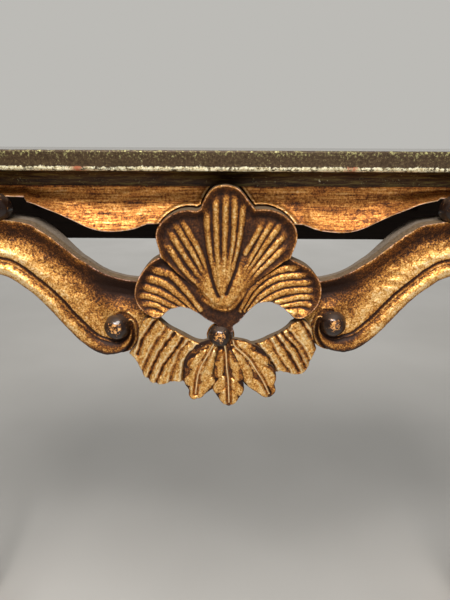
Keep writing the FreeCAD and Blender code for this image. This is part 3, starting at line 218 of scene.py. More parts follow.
# ---- Turned balls ----
RIGHT_BALL = (80.4, 98.2)
LEFT_BALL = (-80.3, 101.7)
BALLS = [
    # name, node, middle, radius, setback
    ("right_volute_ball", "right_volute_boss", RIGHT_BALL, 9.7, 0.8),
    ("left_volute_ball", "left_volute_boss", LEFT_BALL, 9.7, 0.8),
    ("centre_ball", "centre_boss", (-3.2, 107.8), 9.3, 0.5),
    ("right_knee_ball", "right_knee_boss", (157.0, 14.0), 9.6, 0.6),
    ("left_knee_ball", "left_knee_boss", (-157.0, 14.0), 9.6, 0.6),
]


# ---- Curves and distances ----
def bow(x):
    """How far the bowed front lies behind its middle."""
    return BOW_RADIUS - np.sqrt(BOW_RADIUS ** 2 - np.asarray(x, float) ** 2)


def smooth_run(points, step):
    """A smooth run through the points, with samples about a step apart."""
    p = np.array(points, float)
    if len(p) == 2:
        count = max(2, int(np.hypot(*(p[1] - p[0])) / step) + 1)
        return p[0] + (p[1] - p[0]) * np.linspace(0, 1, count)[:, None]
    p = np.vstack([2 * p[0] - p[1], p, 2 * p[-1] - p[-2]])
    out = []
    for a, b, c, d in zip(p, p[1:], p[2:], p[3:]):
        t = np.linspace(0, 1, max(2, int(np.hypot(*(c - b)) / step) + 1), endpoint=False)[:, None]
        out.append(0.5 * (2 * b + (c - a) * t + (2 * a - 5 * b + 4 * c - d) * t ** 2
                          + (3 * b - a - 3 * c + d) * t ** 3))
    out.append(p[-2][None, :])
    return np.vstack(out)


def hang(points, share):
    """Points of the lowest carving, let down a little further the lower they are."""
    return [(x, drop + share * max(drop - HANG_FROM, 0.0)) for x, drop in points]


def runs(lines, step, share=0.0):
    """Smooth runs through lists of points, let down by a share."""
    return [smooth_run(hang(line, share), step) for line in lines]


def joined(strokes):
    """The strokes of an outline, each led back to the corner where the one before it ends."""
    return [[before[-1]] + stroke for before, stroke in zip(strokes[-1:] + strokes, strokes)]


def loop_of(strokes, step, share=0.0):
    """One closed loop of samples from strokes that meet end to end."""
    return np.vstack([run[:-1] for run in runs(joined(strokes), step, share)])


def close(loop):
    """A closed loop with its first sample repeated at the end."""
    return np.vstack([loop, loop[:1]])


def even_loop(loop, step):
    """The same closed loop with its samples evenly spaced."""
    closed = close(loop)
    length = np.concatenate([[0], np.cumsum(np.hypot(*np.diff(closed, axis=0).T))])
    at = np.linspace(0, length[-1], max(8, int(length[-1] / step)), endpoint=False)
    return np.column_stack([np.interp(at, length, closed[:, 0]), np.interp(at, length, closed[:, 1])])


def measure(points, line):
    """Distance of each point from a polyline, how far along it lies (0 to 1), and its side."""
    a = line[:-1]
    d = line[1:] - a
    length = np.hypot(d[:, 0], d[:, 1])
    start = np.concatenate([[0], np.cumsum(length)[:-1]])
    total = length.sum()
    size = np.maximum(length ** 2, 1e-9)
    best = np.empty(len(points))
    along = np.empty(len(points))
    side = np.empty(len(points))
    for i in range(0, len(points), BATCH):
        p = points[i:i + BATCH]
        rx = p[:, None, 0] - a[None, :, 0]
        rz = p[:, None, 1] - a[None, :, 1]
        t = np.clip((rx * d[:, 0] + rz * d[:, 1]) / size, 0, 1)
        gap = (rx - t * d[:, 0]) ** 2 + (rz - t * d[:, 1]) ** 2
        k = gap.argmin(1)
        row = np.arange(len(p))
        best[i:i + BATCH] = np.sqrt(gap[row, k])
        along[i:i + BATCH] = (start[k] + t[row, k] * length[k]) / total
        side[i:i + BATCH] = np.sign(d[k, 0] * rz[row, k] - d[k, 1] * rx[row, k])
    return best, along, side


def inside(points, loop):
    """Which points lie inside a closed loop."""
    x, z = points[:, 0], points[:, 1]
    result = np.zeros(len(points), bool)
    for (x0, z0), (x1, z1) in zip(loop, np.roll(loop, -1, axis=0)):
        if z0 == z1:
            continue
        crosses = ((z0 > z) != (z1 > z)) & (x < (x1 - x0) * (z - z0) / (z1 - z0) + x0)
        result ^= crosses
    return result


def rise(value, low, high):
    """0 below low, 1 above high, with a smooth change between."""
    t = np.clip((np.asarray(value, float) - low) / (high - low), 0, 1)
    return t * t * (3 - 2 * t)


def fall(value, low, high):
    """1 below low, 0 above high, with a smooth change between."""
    return 1 - rise(value, low, high)


def hump(value, width):
    """1 at zero, and nearly gone at twice the width on both sides of it."""
    return np.exp(-(value / width) ** 2)


def quarter(steps):
    """The sine and cosine at even steps of a quarter turn, both ends included."""
    return [(math.sin(a), math.cos(a)) for a in (math.pi / 2 * i / steps for i in range(steps + 1))]


def lengthened(line, before, after):
    """A run carried straight on at its two ends."""
    ahead = line[0] - line[2]
    behind = line[-1] - line[-3]
    first = line[0] + ahead / np.hypot(*ahead) * before
    last = line[-1] + behind / np.hypot(*behind) * after
    return np.vstack([first[None, :], line, last[None, :]])


def fan(points, lines, head, foot, fade):
    """Height of a fan of adjoining reeds, from 0 in its valleys to 1 on its crests."""
    near = np.full(len(points), FAR)
    second = np.full(len(points), FAR)
    share = np.zeros(len(points))
    start = np.zeros(len(points))
    for line in lines:
        gap, along, _ = measure(points, line)
        length = np.hypot(*np.diff(line, axis=0).T).sum()
        closer = gap < near
        second = np.where(closer, near, np.minimum(second, gap))
        near = np.where(closer, gap, near)
        share = np.where(closer, along, share)
        start = np.where(closer, along * length, start)
    width = np.minimum(near + second, 2.0 * (head + (foot - head) * share))
    crest = 1.0 - np.clip(2.0 * near / width, 0, 1) ** REED_BEND
    return crest * rise(start, -0.5, fade)


def ripple(points, seed, size, count=7):
    """Soft unevenness of a hand-cut surface, from -1 to 1, about size across."""
    random = np.random.default_rng(seed)
    total = np.zeros(len(points))
    for _ in range(count):
        angle = random.uniform(0, 2 * math.pi)
        wave = random.uniform(0.7, 1.5) * 2 * math.pi / size
        phase = random.uniform(0, 2 * math.pi)
        total += np.sin(wave * (points[:, 0] * math.cos(angle) + points[:, 1] * math.sin(angle)) + phase)
    return total / count ** 0.5 / 1.4


# ---- Meshes ----
def add_object(name, data):
    """A new object in the scene."""
    made = bpy.data.objects.new(name, data)
    bpy.context.scene.collection.objects.link(made)
    return made


def placed(x, drop, setback):
    """Vertices on the bowed front from places across it, drops and setbacks."""
    return np.column_stack([x, -HALF_DEPTH + setback + bow(x), UNDER_TOP - drop])


def new_object(name, vertices, faces, material, sharp=40.0, attributes=None):
    """A smooth-shaded object from vertices in millimetres, riding on the table's only body."""
    mesh = bpy.data.meshes.new(name)
    mesh.from_pydata([tuple(v) for v in np.asarray(vertices) * MM], [], faces)
    for key, values in (attributes or {}).items():
        layer = mesh.attributes.new(key, "FLOAT", "POINT")
        layer.data.foreach_set("value", np.asarray(values, np.float32))
    mesh.validate()
    mesh.shade_smooth()
    mesh.set_sharp_from_angle(angle=math.radians(sharp))
    mesh.materials.append(material)
    piece = add_object(name, mesh)
    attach(piece, "root")
    return piece


def quads(first, second):
    """Faces between two closed rows of as many vertices."""
    return list(zip(first, np.roll(first, -1), np.roll(second, -1), second))


def recesses(depth, triangles, rounds):
    """How much deeper each vertex lies than its surroundings, in millimetres."""
    edges = np.vstack([triangles[:, [0, 1]], triangles[:, [1, 2]], triangles[:, [2, 0]]])
    a = np.concatenate([edges[:, 0], edges[:, 1]])
    b = np.concatenate([edges[:, 1], edges[:, 0]])
    count = np.bincount(a, minlength=len(depth))
    level = depth.copy()
    for _ in range(rounds):
        level = np.bincount(a, weights=level[b], minlength=len(depth)) / np.maximum(count, 1)
    return depth - level


def relief(name, loop, surface, rear, material, step, edge, rounds, ridges=()):
    """A carved piece.  surface(points, distance from the edge) gives the setback of its front, how
    much more or less gold it carries together with painted shade and highlights, and where its
    arrises are rubbed bare, which on some edges also serves as a painted highlight.  edge is the
    radius of its rounded edge.  Side walls run back to the setback rear(points) or rear; ridges lists
    the way back and the way out of ridges along them."""
    loop = even_loop(np.asarray(loop, float), step)
    area = 0.5 * np.sum(loop[:, 0] * np.roll(loop[:, 1], -1) - np.roll(loop[:, 0], -1) * loop[:, 1])
    if area < 0:
        loop = loop[::-1]
    low, high = loop.min(0), loop.max(0)
    rows = np.arange(low[1], high[1], step * 0.87)
    columns = np.arange(low[0], high[0], step)
    grid = np.vstack([np.column_stack([columns + (i % 2) * step / 2, np.full(len(columns), z)])
                      for i, z in enumerate(rows)])
    closed = close(loop)
    grid = grid[inside(grid, loop)]
    grid = grid[measure(grid, closed)[0] > step * 0.45]
    points = np.vstack([loop, grid])
    count = len(loop)
    ring = [(i, (i + 1) % count) for i in range(count)]
    flat, _, cells, _, _, _ = delaunay_2d_cdt([Vector(p) for p in points], ring, [], 0, 1e-7, False)
    points = np.array([tuple(p) for p in flat])
    cells = np.array([tuple(c) for c in cells])
    cells = cells[inside(points[cells].mean(1), loop)]
    gap = measure(points, closed)[0]
    setback, tone, rubbed = surface(points, gap)
    t = np.clip(1.0 - gap / edge, 0, 1)
    setback = setback + edge * (1.0 - np.sqrt(1.0 - t ** 2))
    recess = recesses(setback, cells, rounds)

    tangent = np.roll(loop, -1, axis=0) - np.roll(loop, 1, axis=0)
    normal = np.column_stack([tangent[:, 1], -tangent[:, 0]])
    normal /= np.maximum(np.hypot(normal[:, 0], normal[:, 1]), 1e-6)[:, None]
    rim = setback[:count]
    rear = np.broadcast_to(rear(loop) if callable(rear) else rear, (count,))
    layers = []
    rear_loop = loop
    for way_back, way_out in ridges:
        rear_loop = loop + normal * way_out
        layers.append((rear_loop, np.minimum(rim + way_back, rear - 0.2)))
    layers.append((rear_loop, rear))
    faces = [tuple(c) for c in cells[:, ::-1]]
    before = np.arange(count)
    for i in range(len(layers)):
        after = len(points) + i * count + np.arange(count)
        faces += quads(before, after)
        before = after
    _, _, caps, origin, _, _ = delaunay_2d_cdt([Vector(p) for p in rear_loop], ring, [], 0, 1e-7, True)
    caps = np.array([[origin[v][0] for v in cap] for cap in caps if all(origin[v] for v in cap)])
    caps = caps[inside(rear_loop[caps].mean(1), rear_loop)]
    faces += [tuple(before[c]) for c in caps]
    flat = np.vstack([points] + [layer[0] for layer in layers])
    depth = np.concatenate([setback] + [layer[1] for layer in layers])
    side = np.concatenate([np.zeros(len(points))]
                          + [np.full(count, (i + 1.0) / len(layers)) for i in range(len(layers))])
    rest = np.zeros(len(flat) - len(points))
    vertices = placed(flat[:, 0], flat[:, 1], depth)
    return new_object(name, vertices, faces, material, attributes={
        "side": side, "recess": np.concatenate([recess, rest]), "tone": np.concatenate([tone, rest]),
        "rubbed": np.concatenate([rubbed, rest])})


def lathe(name, centre, profile, material, steps=48, uneven=0.15, seed=3):
    """A turned piece on an axis that points to the front; profile gives (radius, setback)."""
    x0, drop0 = centre
    vertices = []
    faces = []
    for radius, setback in profile:
        for k in range(steps):
            angle = 2 * math.pi * k / steps
            vertices.append((radius * math.cos(angle), radius * math.sin(angle), setback))
    v = np.array(vertices)
    wave = ripple(v[:, :2] + v[:, 2:3], seed, 9.0) * uneven
    v[:, :2] *= (1.0 + wave / np.maximum(np.hypot(v[:, 0], v[:, 1]), 3.0))[:, None]
    row = np.arange(steps)
    for i in range(len(profile) - 1):
        faces += quads(i * steps + row, (i + 1) * steps + row)
    faces.append(tuple(range(steps))[::-1])
    faces.append(tuple((len(profile) - 1) * steps + k for k in range(steps)))
    out = np.column_stack([x0 + v[:, 0], -HALF_DEPTH + v[:, 2] + bow(x0), UNDER_TOP - drop0 + v[:, 1]])
    return new_object(name, out, faces, material)


# ---- Materials ----
class Nodes:
    """A small helper that adds nodes to one node tree and links them."""

    def __init__(self, tree):
        self.tree = tree

    def feed(self, socket, value):
        """Link a socket to another node's output, or give it a constant."""
        if isinstance(value, bpy.types.NodeSocket):
            self.tree.links.new(value, socket)
        elif socket.type == "RGBA":
            socket.default_value = (*(value if isinstance(value, tuple) else (value,) * 3), 1.0)
        else:
            socket.default_value = value

    def node(self, kind, inputs=(), **settings):
        """A new node; inputs maps its sockets' names or numbers to what feeds them."""
        made = self.tree.nodes.new(kind)
        for key, value in settings.items():
            setattr(made, key, value)
        for key, value in dict(inputs).items():
            self.feed(made.inputs[key], value)
        return made

    def maths(self, operation, a, b=0.5, c=0.5):
        """One step of arithmetic."""
        return self.node("ShaderNodeMath", {0: a, 1: b, 2: c}, operation=operation).outputs[0]

    def spread(self, value, low, high, to_low=0.0, to_high=1.0):
        """The value with its range from low to high spread over another range."""
        return self.node("ShaderNodeMapRange", {
            "Value": value, "From Min": low, "From Max": high, "To Min": to_low, "To Max": to_high,
        }).outputs[0]

    def mix(self, share, a, b):
        """A mix of two colours, or of two values taken as greys."""
        inputs = {"Factor": share, 6: a, 7: b}
        return self.node("ShaderNodeMix", inputs, data_type="RGBA").outputs[2]


class Shader(Nodes):
    """The nodes of one material."""

    def __init__(self, name):
        self.material = bpy.data.materials.new(name)
        self.material.use_nodes = True
        super().__init__(self.material.node_tree)
        self.out = next(n for n in self.tree.nodes if n.type == "BSDF_PRINCIPLED")
        self.place = self.node("ShaderNodeTexCoord").outputs["Object"]

    def noise(self, size, detail=4.0, roughness=0.55, stretch=(1.0, 1.0, 1.0), distortion=0.0):
        """Noise whose features are about size millimetres across."""
        scale = tuple(1.0 / (size * MM * s) for s in stretch)
        mapped = self.node("ShaderNodeMapping", {"Vector": self.place, "Scale": scale})
        return self.node("ShaderNodeTexNoise", {
            "Vector": mapped.outputs[0], "Scale": 1.0, "Detail": detail, "Roughness": roughness,
            "Distortion": distortion}).outputs["Fac"]

    def attribute(self, name):
        """The value that the mesh carries under this name."""
        return self.node("ShaderNodeAttribute", attribute_name=name).outputs["Fac"]

    def vary(self, value, noise, amount):
        """The value made uneven by a noise."""
        return self.maths("MULTIPLY_ADD", self.maths("SUBTRACT", noise, 0.5), amount, value)

    def ramp(self, value, stops):
        """A colour for each value, between stops of (value, colour)."""
        made = self.node("ShaderNodeValToRGB", {"Fac": value})
        band = made.color_ramp
        while len(band.elements) < len(stops):
            band.elements.new(0.5)
        for element, (position, colour) in zip(band.elements, stops):
            element.position = position
            element.color = (*colour, 1.0)
        return made.outputs["Color"]

    def bump(self, height, strength, distance, before=None):
        """Fine relief, distance millimetres high, on top of the bump before it."""
        inputs = {"Height": height, "Strength": strength, "Distance": distance * MM}
        if before is not None:
            inputs["Normal"] = before
        return self.node("ShaderNodeBump", inputs).outputs[0]

    def set(self, **sockets):
        """Feed the material's own sockets and return it."""
        for key, value in sockets.items():
            self.feed(self.out.inputs[key.replace("_", " ")], value)
        return self.material


GRAIN = 1.3                  # sizes of the gilding's unevenness in millimetres
SPECK = 2.6
PATCH = 9.0
BROAD = 42.0
UMBER = (0.024, 0.009, 0.005)
PINK_GESSO = (0.88, 0.54, 0.44)
PALE_GESSO = (0.93, 0.78, 0.42)
RED_BOLE = (0.52, 0.17, 0.09)
OLIVE_FLECK = (0.42, 0.40, 0.17)
SIDE_BROWN = (0.200, 0.138, 0.084)
WOOD = [(0.2, (0.110, 0.088, 0.066)), (0.55, (0.210, 0.168, 0.128)), (0.85, (0.330, 0.270, 0.205))]
YELLOW = [(0.10, UMBER), (0.30, (0.088, 0.032, 0.012)), (0.50, (0.330, 0.120, 0.024)),
          (0.68, (0.650, 0.310, 0.068)), (0.88, (0.850, 0.530, 0.185)), (1.0, (0.910, 0.690, 0.390))]
ORANGE = [(0.10, UMBER), (0.30, (0.140, 0.044, 0.012)), (0.50, (0.400, 0.134, 0.028)),
          (0.68, (0.640, 0.285, 0.066)), (0.88, (0.760, 0.430, 0.155)), (1.0, (0.840, 0.590, 0.330))]


def gilt(name, palette=YELLOW, level=0.55, depth_effect=0.30, streaks=0.0, wood_from=None,
         rubbed=PINK_GESSO, mottle=1.0):
    """Worn water gilding over dark bole and toned size: gold on what stands up, umber in the hollows,
    gesso on rubbed arrises; the tone and rubbed attributes also carry painted shade and highlights.
    streaks adds brush lines along X, mottle is the strength of the wear, and from the share wood_from
    of the way to the back the sides are bare wood."""
    s = Shader(name)
    grain = s.noise(GRAIN, detail=5.0, roughness=0.80)
    speck = s.noise(SPECK, detail=5.0, roughness=0.75)
    patch = s.noise(PATCH, detail=5.0, roughness=0.6, distortion=0.4)
    broad = s.noise(BROAD, detail=2.0)
    tone = s.attribute("tone")
    gold = s.maths("MULTIPLY_ADD", s.attribute("recess"), -depth_effect, level)
    gold = s.maths("ADD", gold, tone)
    uneven = s.vary(s.vary(s.vary(0.0, grain, 1.55), speck, 0.95), patch, 0.65)
    gold = s.maths("MULTIPLY_ADD", uneven, s.spread(tone, -0.40, -0.10, 0.50 * mottle, mottle), gold)
    gold = s.vary(gold, broad, 0.30)
    if streaks:
        lines = s.noise(1.5, detail=4.0, roughness=0.7, stretch=(26.0, 1.0, 1.0))
        gold = s.vary(gold, lines, streaks)
    colour = s.ramp(gold, palette)
    metal = s.spread(gold, 0.15, 0.70, 0.15, 0.82)
    shine = s.spread(gold, 0.15, 0.85, 0.52, 0.38)
    bare = s.maths("MULTIPLY_ADD", s.attribute("rubbed"), 0.62, s.maths("MULTIPLY", speck, 0.55))
    bare = s.spread(bare, 0.74, 0.86)
    colour = s.mix(bare, colour, rubbed)
    metal = s.mix(bare, metal, 0.1)
    side = s.attribute("side")
    wall_share = s.spread(side, 0.02, 0.07)
    fibres = s.noise(1.0, detail=4.0, stretch=(8.0, 1.0, 1.0))
    dim = tuple(c * 0.45 for c in SIDE_BROWN)
    colour = s.mix(wall_share, colour, s.ramp(fibres, [(0.35, dim), (0.65, SIDE_BROWN)]))
    if wood_from:
        colour = s.mix(s.spread(side, wood_from, wood_from + 0.05), colour, s.ramp(fibres, WOOD))
    metal = s.mix(wall_share, metal, 0.0)
    shine = s.mix(wall_share, shine, 0.75)
    bump = s.bump(grain, 0.45, 0.35)
    bump = s.bump(speck, 0.5, 0.45, bump)
    return s.set(Base_Color=colour, Metallic=metal, Roughness=shine, Normal=bump, Specular_IOR_Level=0.22)


def dark_polish(name):
    """Dark brown lacquer with a painted grey sheen on its upper side, chipped through to gold where hands
    touch it.
    """
    s = Shader(name)
    grain = s.noise(GRAIN, detail=6.0, roughness=0.8)
    chips = s.noise(SPECK, detail=4.0, roughness=0.7)
    facing = s.node("ShaderNodeNewGeometry").outputs["Normal"]
    parts = s.node("ShaderNodeSeparateXYZ", {"Vector": facing})
    ahead = s.maths("MULTIPLY", parts.outputs["Y"], -0.975)
    toward = s.maths("MULTIPLY_ADD", parts.outputs["Z"], 0.22, ahead)
    worn = s.spread(toward, 0.78, 0.97, 0.0, 0.66)
    worn = s.vary(worn, chips, 2.6)
    worn = s.vary(worn, grain, 2.4)
    # Painted sheen: the lacquer is painted greyer on its upper side.
    upward = s.vary(parts.outputs["Z"], grain, 0.5)
    dull = s.spread(upward, 0.45, 0.85)
    lacquer = s.mix(dull, (0.016, 0.006, 0.003), (0.058, 0.038, 0.028))
    gold = s.ramp(worn, [(0.60, (0.13, 0.045, 0.015)), (0.78, (0.50, 0.20, 0.05)),
                         (1.0, (0.82, 0.44, 0.14))])
    colour = s.mix(s.spread(worn, 0.56, 0.68), lacquer, gold)
    bump = s.bump(grain, 0.3, 0.25)
    return s.set(Base_Color=colour, Metallic=0.2, Roughness=0.45, Normal=bump, Specular_IOR_Level=0.2,
                 Coat_Weight=0.8, Coat_IOR=1.5, Coat_Roughness=0.05)


def stain_and_shade_wood(name, stain_and_shade=(0.006, 0.0035, 0.0025)):
    """Plain stained wood of the hidden boards; its near-black colour is partly the stain and partly painted
    shade.
    """
    s = Shader(name)
    fibres = s.noise(2.2, detail=6.0, roughness=0.65, stretch=(18.0, 1.0, 1.0))
    patch = s.noise(30.0, detail=3.0)
    lighter = tuple(c * 2.6 for c in stain_and_shade)
    colour = s.ramp(fibres, [(0.3, stain_and_shade), (0.75, lighter)])
    colour = s.mix(s.spread(patch, 0.3, 0.8, 0.0, 0.5), colour, stain_and_shade)
    bump = s.bump(fibres, 0.3, 0.4)
    return s.set(Base_Color=colour, Roughness=0.75, Normal=bump, Specular_IOR_Level=0.15)


def steel(name):
    """Dull brushed steel of the screws and glides."""
    s = Shader(name)
    brushed = s.noise(0.8, detail=3.0, stretch=(1.0, 6.0, 1.0))
    colour = s.ramp(brushed, [(0.3, (0.34, 0.33, 0.32)), (0.7, (0.55, 0.54, 0.52))])
    return s.set(Base_Color=colour, Metallic=0.9, Roughness=s.spread(brushed, 0.3, 0.7, 0.28, 0.45))


def top_finish(name):
    """Dark bronze paint, polished on its upper face; the arrises are rubbed to gold, gesso and bole, the
    lower arris also carries a painted highlight, and the cove and underside painted shade.
    """
    s = Shader(name)
    grain = s.noise(1.7, detail=6.0, roughness=0.8)
    patch = s.noise(7.0, detail=5.0, roughness=0.7)
    streak = s.noise(2.2, detail=5.0, roughness=0.75, stretch=(9.0, 1.0, 1.0))
    upper = s.attribute("upper_arris")
    lower = s.attribute("lower_arris")
    cove = s.attribute("cove")
    polished = s.attribute("polished")
    paint = s.ramp(grain, [(0.30, (0.022, 0.012, 0.006)), (0.52, (0.076, 0.048, 0.025)),
                           (0.70, (0.150, 0.102, 0.048))])
    # Painted shade: the cove and the underside get a darker streaked ramp that stands in for the shade under
    # the nosing.
    deep = s.ramp(streak, [(0.36, (0.014, 0.005, 0.002)), (0.50, (0.052, 0.022, 0.005)),
                           (0.64, (0.130, 0.090, 0.022))])
    colour = s.mix(cove, paint, deep)
    fleck = s.maths("MULTIPLY_ADD", patch, 0.30, grain)
    fleck = s.maths("MULTIPLY_ADD", upper, 0.08, fleck)
    colour = s.mix(s.spread(fleck, 0.76, 0.86), colour, OLIVE_FLECK)
    rubbed = s.maths("MULTIPLY_ADD", patch, 0.90, s.maths("MULTIPLY", grain, 1.30))
    rubbed = s.maths("MULTIPLY_ADD", lower, 0.40, rubbed)
    # The rubbed lower arris is worn gesso and bole; its palest stops are also a painted highlight along that
    # edge.
    worn = s.ramp(grain, [(0.34, (0.30, 0.19, 0.08)), (0.46, (0.72, 0.60, 0.32)), (0.58, (1.0, 0.96, 0.72))])
    bole = s.vary(s.attribute("bole"), patch, 1.4)
    bole = s.vary(bole, grain, 2.6)
    worn = s.mix(s.spread(bole, 0.55, 0.80), worn, RED_BOLE)
    colour = s.mix(s.spread(rubbed, 1.38, 1.48), colour, worn)
    dull = s.spread(grain, 0.2, 0.8, 0.50, 0.34)
    shine = s.mix(polished, dull, s.spread(patch, 0.2, 0.8, 0.06, 0.10))
    bump = s.bump(grain, s.spread(polished, 0.0, 1.0, 0.35, 0.0), 0.35)
    return s.set(Base_Color=colour, Metallic=0.3, Roughness=shine, Normal=bump, Specular_IOR_Level=0.25)


# ---- Top board ----
def top_ring(inset, z, front_steps=260, corner_steps=14, side_steps=24):
    """A level loop round the top at a distance inside the nosing; the back isn't drawn in."""
    side = HALF_WIDTH - inset
    radius = max(CORNER_RADIUS - inset, 0.5)
    edge_y = -HALF_DEPTH + inset + bow(side)
    slope = math.asin(side / BOW_RADIUS)
    tangent = radius * math.tan((math.pi / 2 - slope) / 2)
    end_x = side - tangent * math.cos(slope) * 0.98
    x = np.linspace(-end_x, end_x, front_steps)
    points = [(a, -HALF_DEPTH + inset + b) for a, b in zip(x, bow(x))]
    start = np.array(points[-1])
    finish = np.array([side, edge_y + tangent])
    corner = np.array([side, edge_y])
    turn = []
    for t in np.linspace(0, 1, corner_steps + 2)[1:-1]:
        turn.append(tuple((1 - t) ** 2 * start + 2 * t * (1 - t) * corner + t ** 2 * finish))
    right = turn + [(side, y) for y in np.linspace(finish[1], HALF_DEPTH, side_steps)]
    left = [(-a, b) for a, b in right[::-1]]
    return [(a, b, z) for a, b in points + right + left]


def make_top(material):
    """The moulded top as rings from the middle of the upper face round to the underside.  A station
    is (inset, height, upper arris, lower arris, cove, polished)."""
    soffit = UNDER_TOP + COVE_HEIGHT
    keys = ("upper_arris", "lower_arris", "cove", "polished")
    stations = [(30.0, TABLE_HEIGHT, 0, 0, 0, 1), (8.0, TABLE_HEIGHT, 0, 0, 0, 1),
                (2.6, TABLE_HEIGHT, 0.3, 0, 0, 1)]
    for i, (sine, cosine) in enumerate(quarter(6)):
        stations.append((UPPER_ROUND * (1 - sine), TABLE_HEIGHT - UPPER_ROUND * (1 - cosine),
                         1.0, 0, 0, 0.5 if i == 0 else 0))
    stations += [(0.0, TABLE_HEIGHT - 3.0, 0.85, 0, 0, 0), (0.1, TABLE_HEIGHT - 4.8, 0.5, 0, 0, 0),
                 (0.2, TABLE_HEIGHT - 6.8, 0.1, 0, 0, 0), (0.2, soffit + 4.4, 0, 0, 0, 0),
                 (0.1, soffit + 3.4, 0, 0.25, 0, 0), (0.0, soffit + 2.8, 0, 0.8, 0, 0)]
    for i, (sine, cosine) in enumerate(quarter(7)):
        stations.append((LOWER_ROUND * (1 - cosine), soffit + LOWER_ROUND * (1 - sine),
                         0, 1.0 if i < 6 else 0.6, 0, 0))
    stations += [(LOWER_ROUND + 1.0, soffit, 0, 0, 1, 0), (OVERHANG - COVE_RADIUS, soffit, 0, 0, 1, 0)]
    for sine, cosine in quarter(11)[1:]:
        stations.append((OVERHANG - COVE_RADIUS + COVE_RADIUS * sine,
                         soffit - COVE_RADIUS * (1 - cosine), 0, 0, 1, 0))
    stations += [(OVERHANG, UNDER_TOP, 0, 0, 1, 0), (OVERHANG + 8.0, UNDER_TOP, 0, 0, 1, 0)]
    vertices = []
    faces = []
    values = {key: [] for key in keys}
    for inset, z, *shares in stations:
        ring = top_ring(inset, z)
        vertices += ring
        for key, value in zip(keys, shares):
            values[key] += [value] * len(ring)
    count = len(ring)
    row = np.arange(count)
    for i in range(len(stations) - 1):
        faces += [face[::-1] for face in quads(i * count + row, (i + 1) * count + row)]
    faces.append(tuple(range(count)))
    faces.append(tuple((len(stations) - 1) * count + k for k in range(count))[::-1])
    vertices = np.array(vertices, float)
    flat = vertices[:, [0, 2]] * [1.0, 2.0]
    in_front = vertices[:, 1] < -HALF_DEPTH * 0.3
    chips = np.array(values["lower_arris"]) * np.clip(ripple(flat, 11, 14.0) - 0.15, 0, 1)
    vertices[:, 1] += 1.0 * chips * in_front
    nicks = np.array(values["upper_arris"]) * np.clip(ripple(flat, 12, 9.0) - 0.45, 0, 1)
    vertices[:, 2] -= 0.5 * nicks * in_front
    bole = np.zeros(len(vertices))
    for middle, half in BOLE_PATCHES:
        bole = np.maximum(bole, fall(np.abs(vertices[:, 0] - middle), half * 0.2, half * 1.7))
    values["bole"] = BOLE_STRENGTH * bole * in_front
    top = new_object("top_board_finish", vertices, faces, material, 50.0, values)
    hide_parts("top_board")


# ---- Frieze ----
FRIEZE_EDGE = [(0.0, 25.0), (49.0, 25.0), (56.0, 25.8), (63.0, 28.4), (71.0, 30.0), (81.0, 30.7),
               (89.0, 30.0), (97.0, 27.6), (106.5, 23.0), (116.0, 18.5), (125.0, 15.0), (135.0, 11.0),
               (148.0, 8.3), (160.0, 7.0), (LEG_INNER, 7.0)]
LIP_SETBACK = 12.0


def make_frieze(material):
    """The hollow face of the front rail with its thin lip and the fillet round the shell."""
    fine = np.arange(-75.0, 75.1, 0.6)
    coarse = np.arange(77.0, 200.0, 1.5)
    far = np.linspace(202.0, LEG_INNER, 40)
    x = np.concatenate([-far[::-1], -coarse[::-1], fine, coarse, far])
    edge = smooth_run(FRIEZE_EDGE, 1.0)
    low = np.interp(np.abs(x), edge[:, 0], edge[:, 1])
    shares = np.concatenate([np.linspace(0, 0.95, 44), [0.97, 0.985, 1.0]])
    shell = loop_of(SHELL, 0.5)
    closed = close(shell)
    rows = []
    tones = []
    bare = []

    def add_row(drop, setback, tone, rubbed):
        """One more row of vertices, down the face and then up the back."""
        rows.append(placed(x, drop, setback))
        tones.append(np.broadcast_to(tone, x.shape))
        bare.append(np.broadcast_to(rubbed, x.shape))

    for share in shares:
        drop = share * (low - 1.0)
        hollow = 2.6 * np.sin(math.pi * share) ** 1.2
        setback = OVERHANG + (LIP_SETBACK - OVERHANG) * share ** 1.35 + hollow
        flat = np.column_stack([x, drop])
        gap = measure(flat, closed)[0] * np.where(inside(flat, shell), -1.0, 1.0)
        level = drop < 24.2
        near = fall(gap, 1.6, 4.2) * level
        band = fall(np.abs(gap - 1.9), 0.5, 1.1) * level
        sunk = fall(gap, 0.5, 1.2) * level
        setback = setback - 1.3 * near + 2.2 * sunk + 0.22 * ripple(flat * [0.4, 1.0], 21, 6.0)
        flare = share ** 2.2
        # Painted light: the fillet band round the shell gets a painted highlight, the lower flare is painted
        # a little darker to hold back the lamp's highlight on it, and the gap against the shell and the top
        # edge under the cove are painted dark as shade.
        tone = 0.02 - 0.08 * flare - 0.04 * np.sin(math.pi * share) ** 8 + 0.30 * band
        tone = tone - 0.45 * sunk - 0.25 * fall(drop, 0.0, 2.0)
        add_row(drop, setback, tone, 0.25 * band + 0.10 * flare)
    # The front of the lip is rubbed gesso with a painted highlight; its underside is painted dark as shade.
    for down, back, tone, rubbed in ((0.3, 0.0, 0.4, 0.84), (0.9, 0.25, 0.4, 0.84),
                                     (1.0, 0.9, -0.5, 0.0), (1.0, 1.6, -0.5, 0.0)):
        add_row(low - 1.0 + down, LIP_SETBACK + back, tone, rubbed)
    rear = OVERHANG + 26.0
    # The back of the rail is painted dark as shade.
    add_row(low, rear, -0.7, 0.0)
    add_row(low * 0.0, rear, -0.7, 0.0)
    count = len(x)
    vertices = np.vstack(rows)
    faces = []
    column = np.arange(len(rows)) * count
    for k in range(count - 1):
        faces += quads(column + k, column + k + 1)
    faces.append(tuple(i * count for i in range(len(rows)))[::-1])
    faces.append(tuple(i * count + count - 1 for i in range(len(rows))))
    frieze = new_object("front_rail_frieze", vertices, faces, material, 50.0,
                        {"tone": np.concatenate(tones), "rubbed": np.concatenate(bare)})
    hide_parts("front_rail")


